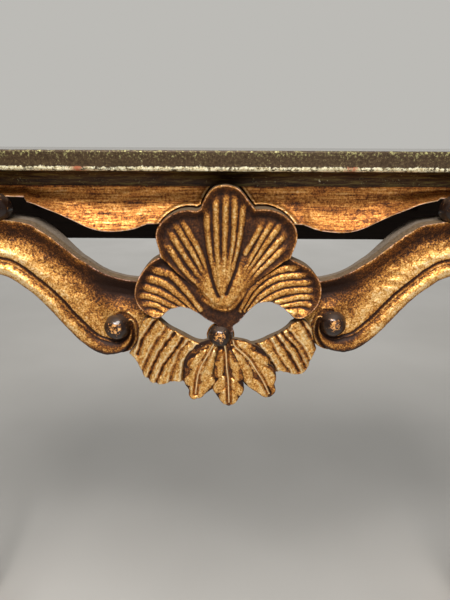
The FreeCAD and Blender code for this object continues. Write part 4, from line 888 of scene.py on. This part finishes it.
# ---- Shell ----
def make_shell(material):
    """The carved shell: five reeded lobes, the upper three folded over the lower two."""
    rims = runs(joined(SHELL), 0.5)
    right_rim, left_rim = np.vstack(rims[:3]), np.vstack(rims[-2:])
    folds = runs([FOLD_LEFT, FOLD_RIGHT], 0.8)
    fan_loop = np.vstack([folds[0], folds[1][::-1], [(60.0, 20.0), (0.0, -20.0), (-60.0, 20.0)]])
    valleys = runs(VALLEYS, 1.0)
    upper_groups = [[lengthened(run, 3.0, 0.0) for run in runs(lines, 1.2)]
                    for lines in (CENTRE_REEDS, UPPER_LEFT_REEDS, UPPER_RIGHT_REEDS)]
    lower_groups = [[lengthened(run, 2.0, 7.0) for run in runs(lines, 1.2)]
                    for lines in (LOWER_LEFT_REEDS, LOWER_RIGHT_REEDS)]

    def surface(points, gap):
        """The shell is dished and reeded, swells at the hinge and rolls over at the fan's fold."""
        drop = points[:, 1]
        rim_gap = np.minimum(measure(points, right_rim)[0], measure(points, left_rim)[0])
        in_fan = inside(points, fan_loop)
        fold = np.minimum(measure(points, folds[0])[0], measure(points, folds[1])[0])
        upper = np.max([fan(points, lines, 3.0, 2.0, 15.0) for lines in upper_groups], axis=0)
        lower = np.max([fan(points, lines, 3.6, 2.4, 8.0) for lines in lower_groups], axis=0)
        hinge = np.hypot(points[:, 0] - HINGE[0], (drop - HINGE[1]) * 0.75)
        bulb = hump(hinge, SHELL_BULB_RADIUS) * np.where(in_fan, 1.0, 0.75 * hump(fold, 2.6))
        fading = 1 - 0.90 * rise(drop, 42.0, 60.0) * rise(bulb, 0.03, 0.40)
        crest = np.where(in_fan, upper * fading, lower)
        height = SHELL_REED * crest * rise(rim_gap, 0.8, 4.0)
        dish = rise(rim_gap, 0.0, 6.5)
        floor = SHELL_RIM + SHELL_DISH * dish - SHELL_BULB * bulb
        roll = rise(drop, 56.0, 74.0)
        floor = floor + 2.2 * roll * fall(fold, 0.0, 4.5) * in_fan
        floor = floor + np.where(in_fan, -1.3 * np.exp(-fold / 3.5) * dish * (1 - roll),
                                 2.4 * np.exp(-fold / 4.5) * (1 - 0.5 * roll))
        # Painted light: the ground between the reeds and the valleys on the hinge are darker partly as
        # patina and partly as painted shade.
        bare = fall(crest, 0.0, 0.75) * rise(rim_gap, 0.5, 1.4) * fall(bulb, 0.06, 0.5)
        dark = 0.32 * bare
        for line in valleys:
            away = measure(points, line)[0]
            floor = floor + 1.1 * hump(away, 3.2) * rise(rim_gap, 1.0, 4.0)
            floor = floor + 0.9 * hump(away, 1.1) * bulb
            dark = dark + 0.75 * hump(away, 1.1) * rise(bulb, 0.05, 0.3) * in_fan
        tail = (~in_fan) * rise(drop, 78.0, 88.0) * fall(np.abs(points[:, 0]), 9.0, 17.0)
        floor = floor + 1.2 * tail - 1.6 * tail * np.clip(1 - (points[:, 0] / 10.0) ** 2, 0, 1)
        # Painted shadow: the lower lobes just under the fan's folded edge are painted darker as the shadow
        # of the fold.
        below = (~in_fan) * np.exp(-fold / 4.0) * (1 - 0.5 * tail) * (1 - 0.8 * roll)
        tone = -0.07 + 0.18 * bulb + 0.10 * crest - dark - 0.02 * tail - 0.20 * below
        # The rubbed rim and the fold's edges are worn gesso and also serve as a painted highlight along
        # those edges.
        rubbed = 0.84 * fall(np.abs(gap - 0.5), 0.2, 0.8)
        rubbed = rubbed + 0.75 * in_fan * fall(fold, 0.0, 0.8) * dish * (1 - roll)
        return floor - height + 0.14 * ripple(points, 31, 5.0), tone, rubbed

    loop = loop_of(SHELL, 0.5)
    piece = relief("shell_carving", loop, surface, SHELL_REAR, material, step=0.5, edge=0.7, rounds=14)
    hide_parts("shell")


# ---- Scroll arms ----
def run_points(shares):
    """Points of the arm's run to the leg, beyond the photo."""
    return [(ARM_RUN_END + (LEG_INNER - ARM_RUN_END) * share, drop) for share, drop in shares]


def spiral(ball, start, sweep, radii, count=40):
    """Points round a ball from a start angle, in degrees from +X, turning towards the bottom."""
    out = []
    for i in range(count):
        t = i / (count - 1.0)
        angle = math.radians(start - sweep * t)
        radius = np.interp(t, np.linspace(0, 1, len(radii)), radii)
        out.append((ball[0] + radius * math.cos(angle), ball[1] - radius * math.sin(angle)))
    return out


def make_arm(side, ball, material):
    """One arm; the outline is worked out for the right-hand side and mirrored."""
    ball = (abs(ball[0]), ball[1])
    shift = ball[1] - RIGHT_BALL[1]

    def lowered(points):
        """The lower edge of each arm follows its own ball."""
        return [(x, drop + shift * float(fall(x, 82.0, 128.0))) for x, drop in points]

    upper = smooth_run(run_points(ARM_RUN_UPPER) + ARM_UPPER, 0.8)
    run = run_points(ARM_RUN_LOWER) + lowered(ARM_LOWER)
    ring = spiral(ball, RING_START, RING_SWEEP, RING_RADII)
    low_line = smooth_run(run + ring, 0.8)
    turn = spiral(ball, FLANK_START, FLANK_SWEEP, FLANK_RADII)
    flank = smooth_run(run + turn, 0.8)
    groove_run = [(x, drop - ARM_GROOVE_RUN) for x, drop in run_points(ARM_RUN_LOWER)]
    groove_ring = spiral(ball, GROOVE_START, GROOVE_SWEEP, GROOVE_RADII)
    groove = smooth_run(groove_run + lowered(ARM_GROOVE) + groove_ring, 0.8)
    keep = np.arange(len(low_line)) < np.argmax((low_line[:, 0] < ball[0] - 12.0)
                                                & (low_line[:, 1] < ball[1] + 12.0))
    loop = np.vstack([upper, ARM_TONGUE, low_line[keep][::-1]])
    band = np.vstack([groove, flank[::-1]])
    ledge = np.vstack([turn, ring[::-1]])
    if side < 0:
        upper, groove, flank, loop, band, ledge = (
            p * [-1, 1] for p in (upper, groove, flank, loop, band, ledge))

    def surface(points, gap):
        """A hollow over a turned bead, parted by the groove, and the ledge round the ball."""
        to_upper = measure(points, upper)[0]
        to_groove, along, _ = measure(points, groove)
        to_flank = measure(points, flank)[0]
        on_bead = inside(points, band)
        on_ledge = inside(points, ledge) & ~on_bead
        t = to_upper / np.maximum(to_upper + to_groove, 1e-6)
        hollow = ARM_SETBACK + np.interp(t, HOLLOW_SHARES, HOLLOW_DEPTHS)
        b = to_groove / np.maximum(to_flank + to_groove, 1e-6)
        turned = rise(along, RING_FROM, RING_FROM + 0.06)
        bead = BEAD_FOOT + 0.4 * turned
        bead = bead - BEAD_RISE * (1 - 0.3 * turned) * np.interp(b, BEAD_SHARES, BEAD_HEIGHTS)
        ridge = fall(np.abs(to_flank - 2.4), 0.2, 0.8)
        shelf = LEDGE_SETBACK - 1.0 * ridge + 0.6 * fall(np.abs(to_flank - 0.3), 0.2, 0.7)
        setback = np.where(on_bead, bead, np.where(on_ledge, shelf, hollow))
        cut = np.clip(1 - (to_groove / 0.9) ** 2, 0, 1) * ~on_ledge
        setback = setback + 1.2 * cut * (1 - 0.6 * turned)
        # Painted light in the tone below: where the bead turns under the ball it is darker, partly its own
        # dark finish and partly painted shade; the ledge round the ball carries painted shade with a painted
        # highlight on its ridge; the groove is painted dark as shade; and the web between the ball and the
        # shell is painted darker as shade.
        web_shade = fall(np.abs(points[:, 0]), 80.0, 106.0) * fall(points[:, 1], 86.0, 98.0)
        tone = np.where(on_bead, np.interp(b, BEAD_SHARES, BEAD_SHADE_AND_HIGHLIGHT) - 0.32 * turned,
                        np.where(on_ledge, -0.24 + 0.50 * ridge, np.interp(t, HOLLOW_SHARES, HOLLOW_SHADE_AND_HIGHLIGHT)))
        tone = tone - 0.5 * cut - 0.30 * web_shade * ~on_bead * ~on_ledge
        rubbed = 0.86 * fall(to_upper, 0.0, 1.0)
        rubbed = rubbed + 0.45 * on_bead * fall(np.abs(to_groove - 1.6), 0.0, 0.8) * (1 - turned)
        return setback + 0.22 * ripple(points, 41 + side, 8.0), tone, rubbed

    def rear(points):
        """The arm thickens towards the leg."""
        return ARM_REAR + ARM_THICKENING * rise(np.abs(points[:, 0]), 88.0, 140.0)

    name = "right_arm" if side > 0 else "left_arm"
    piece = relief(name + "_carving", loop, surface, rear, material, step=0.75, edge=0.6, rounds=30,
                   ridges=ARM_STEP)
    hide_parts(name)


def make_ball(name, node, centre, radius, setback, material, collar):
    """A turned ball on its seat, with a thin gilded collar behind it if one is given."""
    profile = [(max(radius * sine, 0.2), setback + radius * (1 - cosine)) for sine, cosine in quarter(16)]
    profile += [(radius * 0.99, setback + radius + 2.2), (radius * 0.80, setback + radius + 3.0)]
    piece = lathe(name, centre, profile, material)
    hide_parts(node)
    if collar:
        rear = setback + radius + 0.6
        ring = [(radius * 0.9, rear - 0.4)]
        for i in range(7):
            a = math.pi * i / 6
            ring.append((radius + 0.25 - 0.55 * math.cos(a) + 0.3, rear + 0.7 - 0.9 * math.sin(a)))
        ring.append((radius * 0.9, rear + 2.0))
        lathe(name + "_collar", centre, ring, collar, uneven=0.05)


# ---- Ruffles and leaves ----
HANG_FROM = 106.0            # the drop below which ruffles and leaves hang lower than drawn
RUFFLE_HANG = 0.08           # how much lower, as a share of the drop beyond it
RUFFLE_SETBACK = 7.2
FLUTE_DEPTH = 2.5
RUFFLE_REAR = 13.0
RIGHT_RUFFLE = [
    [(46.2, 100.4), (40.7, 104.6), (33.4, 108.0), (26.5, 111.4), (19.0, 113.2), (11.0, 112.2),
     (0.0, 112.0)],
    [(0.0, 130.0)],
    [(30.0, 136.0), (39.4, 134.8), (42.2, 132.9)],
    [(48.1, 134.8), (55.6, 136.0), (60.6, 134.2), (63.4, 130.6), (65.1, 124.6), (68.9, 116.0)],
    [(66.4, 109.6), (64.9, 105.0), (64.0, 100.0), (59.6, 95.2), (55.2, 93.8), (49.3, 96.5)],
]
LEFT_RUFFLE = [
    [(-45.5, 96.6), (-40.6, 100.9), (-31.5, 105.9), (-22.3, 110.7), (-14.5, 112.0), (0.0, 112.0)],
    [(0.0, 130.0)],
    [(-28.0, 142.0), (-32.9, 142.4), (-38.7, 141.8)],
    [(-45.8, 143.8), (-51.6, 144.4), (-57.3, 142.2), (-62.0, 137.4), (-64.2, 131.8), (-67.4, 125.0),
     (-72.0, 120.0)],
    [(-66.7, 114.5), (-64.6, 109.0), (-63.9, 103.6), (-61.4, 96.6), (-56.0, 92.2), (-49.0, 93.0)],
]
LEFT_GROOVES = [
    [(-50.0, 94.0), (-57.2, 103.8), (-61.4, 110.3), (-65.5, 120.8)],
    [(-42.5, 100.0), (-44.5, 103.3), (-50.3, 110.3), (-55.5, 119.7), (-59.7, 127.4), (-62.7, 134.2)],
    [(-37.0, 104.5), (-39.1, 107.0), (-44.0, 113.0), (-49.5, 121.1), (-54.7, 130.7), (-59.2, 141.1)],
    [(-31.5, 109.0), (-33.7, 113.0), (-37.7, 118.2), (-42.7, 124.9), (-46.8, 130.7), (-52.6, 143.5)],
    [(-26.5, 111.0), (-28.6, 113.0), (-33.4, 118.6), (-36.3, 126.3), (-40.0, 135.0), (-42.6, 144.0)],
    [(-20.0, 114.6), (-26.7, 121.3), (-30.3, 129.0), (-32.3, 143.4)],
]
RIGHT_GROOVES = [
    [(54.3, 91.7), (62.5, 104.8), (68.8, 115.1)],
    [(43.0, 98.0), (46.3, 101.9), (53.4, 110.0), (60.1, 118.4), (65.6, 128.9)],
    [(39.5, 102.0), (43.7, 106.0), (50.2, 113.2), (54.3, 117.4), (61.6, 130.9)],
    [(35.5, 104.0), (39.1, 108.1), (44.1, 114.8), (49.3, 122.1), (56.5, 133.7)],
    [(30.5, 107.0), (34.0, 111.2), (38.1, 118.5), (43.2, 125.9), (49.3, 134.3)],
    [(22.0, 111.4), (25.0, 114.4), (31.0, 121.2), (36.0, 128.1), (41.2, 136.6)],
]


def make_ruffle(side, strokes, grooves, material):
    """A fluted ruffle; one flank of each groove is raised a little and carries a painted highlight."""
    loop = loop_of(strokes, 0.6, RUFFLE_HANG)
    lines = runs(grooves, 1.0, RUFFLE_HANG)

    def surface(points, gap):
        """The ground sinks towards the nearest groove."""
        away = np.full(len(points), FAR)
        hand = np.zeros(len(points))
        deep = np.zeros(len(points))
        for number, line in enumerate(lines):
            gone, _, facing = measure(points, line)
            closer = gone < away
            hand = np.where(closer, facing * side, hand)
            deep = np.where(closer, 0.6 if number % 3 == 1 else 1.0, deep)
            away = np.minimum(away, gone)
        away = np.maximum(away + 0.4 * ripple(points, 51 + side, 7.0), 0)
        crest = rise(away, -0.6, 3.0)
        # Painted highlight on one flank of each groove.
        highlight_flank = hump(away - 2.0, 1.1) * (hand < 0)
        lip = np.exp(-gap / 1.2)
        setback = RUFFLE_SETBACK - FLUTE_DEPTH * (1 - deep * (1 - crest)) - 0.5 * highlight_flank + 0.4 * lip
        tone = 0.14 + 0.14 * highlight_flank - 0.30 * deep * fall(away, 0.1, 1.5)
        rubbed = 0.25 * fall(gap, 0.0, 0.8)
        return setback + 0.26 * ripple(points, 53 + side, 3.5), tone, rubbed

    name = "right_ruffle" if side > 0 else "left_ruffle"
    piece = relief(name + "_carving", loop, surface, RUFFLE_REAR, material, step=0.55, edge=1.0, rounds=16)
    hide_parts(name)


LEAF_HANG = 0.045
LOBE_RADIUS = 4.1
LOBE_HEIGHT = 2.0
MIDRIB_HEIGHT = 1.5
LEAF_REAR = 9.0
LEAVES = [
    # name, setback of its front, midrib from root to tip, lobes, dark lobes, outline
    ("left_leaf", 1.8,
     [(-7.0, 109.0), (-8.9, 113.3), (-14.1, 122.7), (-18.0, 130.1), (-20.5, 138.1), (-22.4, 152.0)],
     [[(-13.6, 120.0), (-24.6, 127.8)], [(-20.0, 132.6), (-26.8, 142.0)],
      [(-22.8, 146.6), (-24.2, 153.6)], [(-10.3, 119.5), (-11.8, 131.6), (-15.2, 139.0)],
      [(-11.0, 141.8), (-16.3, 147.6), (-19.4, 152.5)]],
     [[(-12.8, 109.6), (-21.6, 114.4)], [(-24.0, 121.6), (-28.6, 129.0)]],
     [[(-12.1, 109.2), (-20.6, 112.8), (-24.8, 117.0)], [(-29.4, 123.0), (-31.2, 130.0), (-30.4, 134.6)],
      [(-31.4, 139.8), (-30.2, 145.4), (-27.4, 149.6)],
      [(-27.4, 154.0), (-23.7, 157.2), (-18.3, 155.5), (-13.4, 151.8), (-9.3, 148.9)],
      [(-6.5, 143.5), (-6.5, 133.2), (-4.0, 119.5), (-4.5, 108.0)]]),
    ("right_leaf", 1.8,
     [(6.2, 109.5), (8.2, 114.2), (17.3, 122.5), (23.3, 131.4), (29.3, 141.1), (34.4, 151.6)],
     [[(10.6, 112.2), (19.4, 114.6)], [(18.2, 119.2), (30.0, 125.0)],
      [(25.2, 128.9), (32.0, 135.1), (37.0, 141.1)], [(32.6, 144.6), (36.6, 149.0)],
      [(8.8, 118.3), (12.2, 127.2), (16.4, 132.3)], [(16.9, 133.6), (18.2, 139.5), (23.7, 147.2)],
      [(24.0, 144.2), (30.4, 151.8)]],
     [[(21.0, 114.6), (30.6, 120.4)], [(34.8, 147.2), (37.0, 152.0)]],
     [[(8.7, 108.6), (16.3, 110.2), (23.4, 113.6)], [(29.4, 117.8), (32.8, 123.5), (33.4, 127.8)],
      [(37.4, 131.2), (39.3, 138.0), (38.0, 144.2)],
      [(39.2, 149.5), (36.6, 154.6), (32.7, 155.6), (27.8, 153.1), (22.8, 149.4), (17.4, 146.1),
       (15.6, 144.6)], [(13.0, 140.6), (10.5, 129.9), (3.0, 119.4), (3.0, 108.0)]]),
    ("centre_leaf", 0.9,
     [(0.0, 113.0), (1.0, 118.9), (1.6, 130.0), (2.8, 140.7), (3.5, 158.5)],
     [[(-1.8, 119.4), (-4.0, 127.3), (-5.0, 134.6)], [(-1.0, 140.6), (-5.6, 147.6)],
      [(0.4, 151.2), (-0.4, 157.0)], [(4.1, 120.5), (8.0, 128.3), (10.4, 137.6)],
      [(6.4, 142.7), (11.4, 149.4)], [(6.2, 152.4), (6.8, 157.4)]],
     [[(-2.6, 116.4), (-6.0, 123.0)], [(4.6, 116.6), (8.6, 123.4)], [(-7.6, 130.0), (-7.0, 138.6)],
      [(12.4, 133.0), (13.2, 142.0)]],
     [[(-5.8, 117.5), (-7.8, 127.4), (-8.6, 134.6), (-7.2, 140.6)],
      [(-9.2, 144.6), (-8.6, 149.0), (-4.8, 155.6), (-0.2, 160.4), (3.6, 162.6), (8.6, 158.8),
       (12.6, 153.6), (15.0, 148.0), (13.6, 142.6)],
      [(15.0, 138.4), (13.0, 130.5), (8.6, 121.4), (4.2, 113.5), (2.6, 110.0)], [(-2.6, 110.0)]]),
]


def make_leaf(number, leaf, material):
    """One leaf with rounded lobes on both sides of a raised midrib."""
    name, front, rib, lobes, shades, strokes = leaf
    loop = loop_of(strokes, 0.5, LEAF_HANG)
    line = smooth_run(hang(rib, LEAF_HANG), 1.0)
    ridges = runs(lobes, 1.0, LEAF_HANG)
    darker = runs(shades, 1.0, LEAF_HANG)

    def surface(points, gap):
        """Lobes and midrib stand up from the leaf."""
        away = measure(points, line)[0]
        height = np.zeros(len(points))
        for ridge in ridges:
            gone = measure(points, ridge)[0] + 0.35 * ripple(points, 65 + number, 6.0)
            height = np.maximum(height, np.sqrt(np.clip(1 - (gone / LOBE_RADIUS) ** 2, 0, 1)))
        shade = np.zeros(len(points))
        for patch in darker:
            shade = np.maximum(shade, fall(measure(points, patch)[0], 1.2, 3.2))
        rib_line = fall(away, 0.35, 0.85)
        midrib_side_shade = hump(away - 1.5, 0.5)
        setback = front + 2.8 - LOBE_HEIGHT * height * rise(away, 1.0, 3.2)
        setback = setback - MIDRIB_HEIGHT * rib_line + 0.3 * midrib_side_shade
        tone = 0.10 - 0.34 * fall(height, 0.0, 0.50) * rise(away, 1.2, 2.0) - 0.34 * shade
        # Painted light: the midrib line carries a painted highlight and the strip beside it painted shade.
        tone = tone + 0.24 * rib_line - 0.14 * midrib_side_shade - 0.26 * fall(gap, 0.3, 1.6) * (1 - rib_line)
        return setback + 0.16 * ripple(points, 61 + number, 4.5), tone, 0.35 * rib_line

    return relief(name, loop, surface, LEAF_REAR, material, step=0.45, edge=0.8, rounds=10)


def make_leaves(material):
    """The three leaves of the spray."""
    pieces = [make_leaf(number, leaf, material) for number, leaf in enumerate(LEAVES)]
    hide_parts("leaf_spray")


# ---- Assembly ----
def dress():
    """Make the visible pieces and give every piece of the CAD its finish."""
    carving = gilt("gilt_carving", level=0.58)
    leaves = gilt("gilt_leaves", level=0.60, rubbed=PALE_GESSO)
    arms = gilt("gilt_arms", level=0.54, depth_effect=0.10, wood_from=0.68, mottle=1.15)
    rail = gilt("gilt_frieze", palette=ORANGE, level=0.56, depth_effect=0.0, streaks=1.5, mottle=0.75)
    bosses = dark_polish("dark_boss")
    board = stain_and_shade_wood("hidden_wood")
    metal = steel("steel")
    make_top(top_finish("top_finish"))
    make_frieze(rail)
    make_shell(carving)
    make_arm(1, RIGHT_BALL, arms)
    make_arm(-1, LEFT_BALL, arms)
    make_ruffle(1, RIGHT_RUFFLE, RIGHT_GROOVES, carving)
    make_ruffle(-1, LEFT_RUFFLE, LEFT_GROOVES, carving)
    make_leaves(leaves)
    for ball in BALLS:
        make_ball(*ball, bosses, leaves if ball[0] == "centre_ball" else None)
    finishes = {"back_rail": board, "shell_backing": board, "glue_blocks": board, "arm_dowels": board,
                "top_screws": metal, "foot_glides": metal}
    legs = gilt("gilt_legs", level=0.55, mottle=0.55)
    for name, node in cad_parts.items():
        node.data.materials.clear()
        node.data.materials.append(finishes.get(name, legs))


def make_floor():
    """A plain pale floor, wide enough to fill every view."""
    s = Shader("pale_floor")
    cloud = s.noise(400.0, detail=2.0)
    pale = s.ramp(cloud, [(0.3, (0.46, 0.45, 0.43)), (0.7, (0.50, 0.49, 0.47))])
    mesh = bpy.data.meshes.new("floor")
    corners = [(x * FLOOR_HALF, y * FLOOR_HALF, 0) for x, y in ((-1, -1), (1, -1), (1, 1), (-1, 1))]
    mesh.from_pydata(corners, [], [(0, 1, 2, 3)])
    mesh.materials.append(s.set(Base_Color=pale, Roughness=0.9))
    add_object("floor", mesh)


def add_light(name, place, target, size, power, colour):
    """A soft rectangular light, its place, target and size in metres."""
    light = bpy.data.lights.new(name, "AREA")
    light.shape = "RECTANGLE"
    light.size, light.size_y = size
    light.energy = power
    light.color = colour
    lamp = add_object(name, light)
    lamp.location = place
    lamp.rotation_euler = (Vector(target) - Vector(place)).to_track_quat("-Z", "Y").to_euler()


def make_light():
    """A pale studio: bright behind the table and above it, dimmer behind the camera."""
    bpy.context.scene.view_settings.view_transform = "Standard"
    world = bpy.data.worlds.new("studio")
    bpy.context.scene.world = world
    world.use_nodes = True
    nodes = Nodes(world.node_tree)
    place = nodes.node("ShaderNodeTexCoord").outputs["Generated"]
    parts = nodes.node("ShaderNodeSeparateXYZ", {"Vector": place})
    behind = nodes.spread(parts.outputs["Y"], -0.6, 0.4)
    background = world.node_tree.nodes["Background"]
    nodes.feed(background.inputs["Color"], nodes.mix(behind, (0.13, 0.13, 0.13), (0.56, 0.55, 0.52)))
    nodes.feed(background.inputs["Strength"], 0.9)
    add_light("overhead", (-0.12, -1.05, 2.05), (0.0, -0.1, 0.7), (1.2, 0.6), 33.0, (1.0, 0.96, 0.91))
    add_light("key", (-0.25, -0.95, 1.75), (0.0, -0.1, 0.68), (0.22, 0.14), 5.0, (1.0, 0.96, 0.92))
    add_light("front_fill", (0.9, -2.2, 1.2), (0.0, 0.0, 0.6), (1.2, 1.2), 6.0, (0.95, 0.97, 1.0))
    add_light("low_fill", (0.0, -1.30, 0.10), (0.0, -0.15, 0.62), (1.4, 0.7), 3.6, (1.0, 0.93, 0.84))
    add_light("floor_fill", (0.0, 4.0, 3.0), (0.0, 4.0, 0.0), (5.0, 3.0), 85.0, (1.0, 1.0, 1.0))


def make_camera():
    """The photo's camera, looking down at the shell."""
    data = bpy.data.cameras.new("camera")
    data.sensor_width = CAMERA_SENSOR
    data.lens = CAMERA_LENS
    camera = add_object("camera", data)
    place = Vector((0.0, -HALF_DEPTH - CAMERA_AHEAD, TABLE_HEIGHT + CAMERA_ABOVE)) * MM
    turn = Matrix.Rotation(math.radians(90.0 - CAMERA_PITCH), 4, "X")
    roll = Matrix.Rotation(math.radians(CAMERA_ROLL), 4, "Z")
    camera.matrix_world = Matrix.Translation(place) @ turn @ roll
    bpy.context.scene.camera = camera


dress()
make_floor()
make_light()
make_camera()
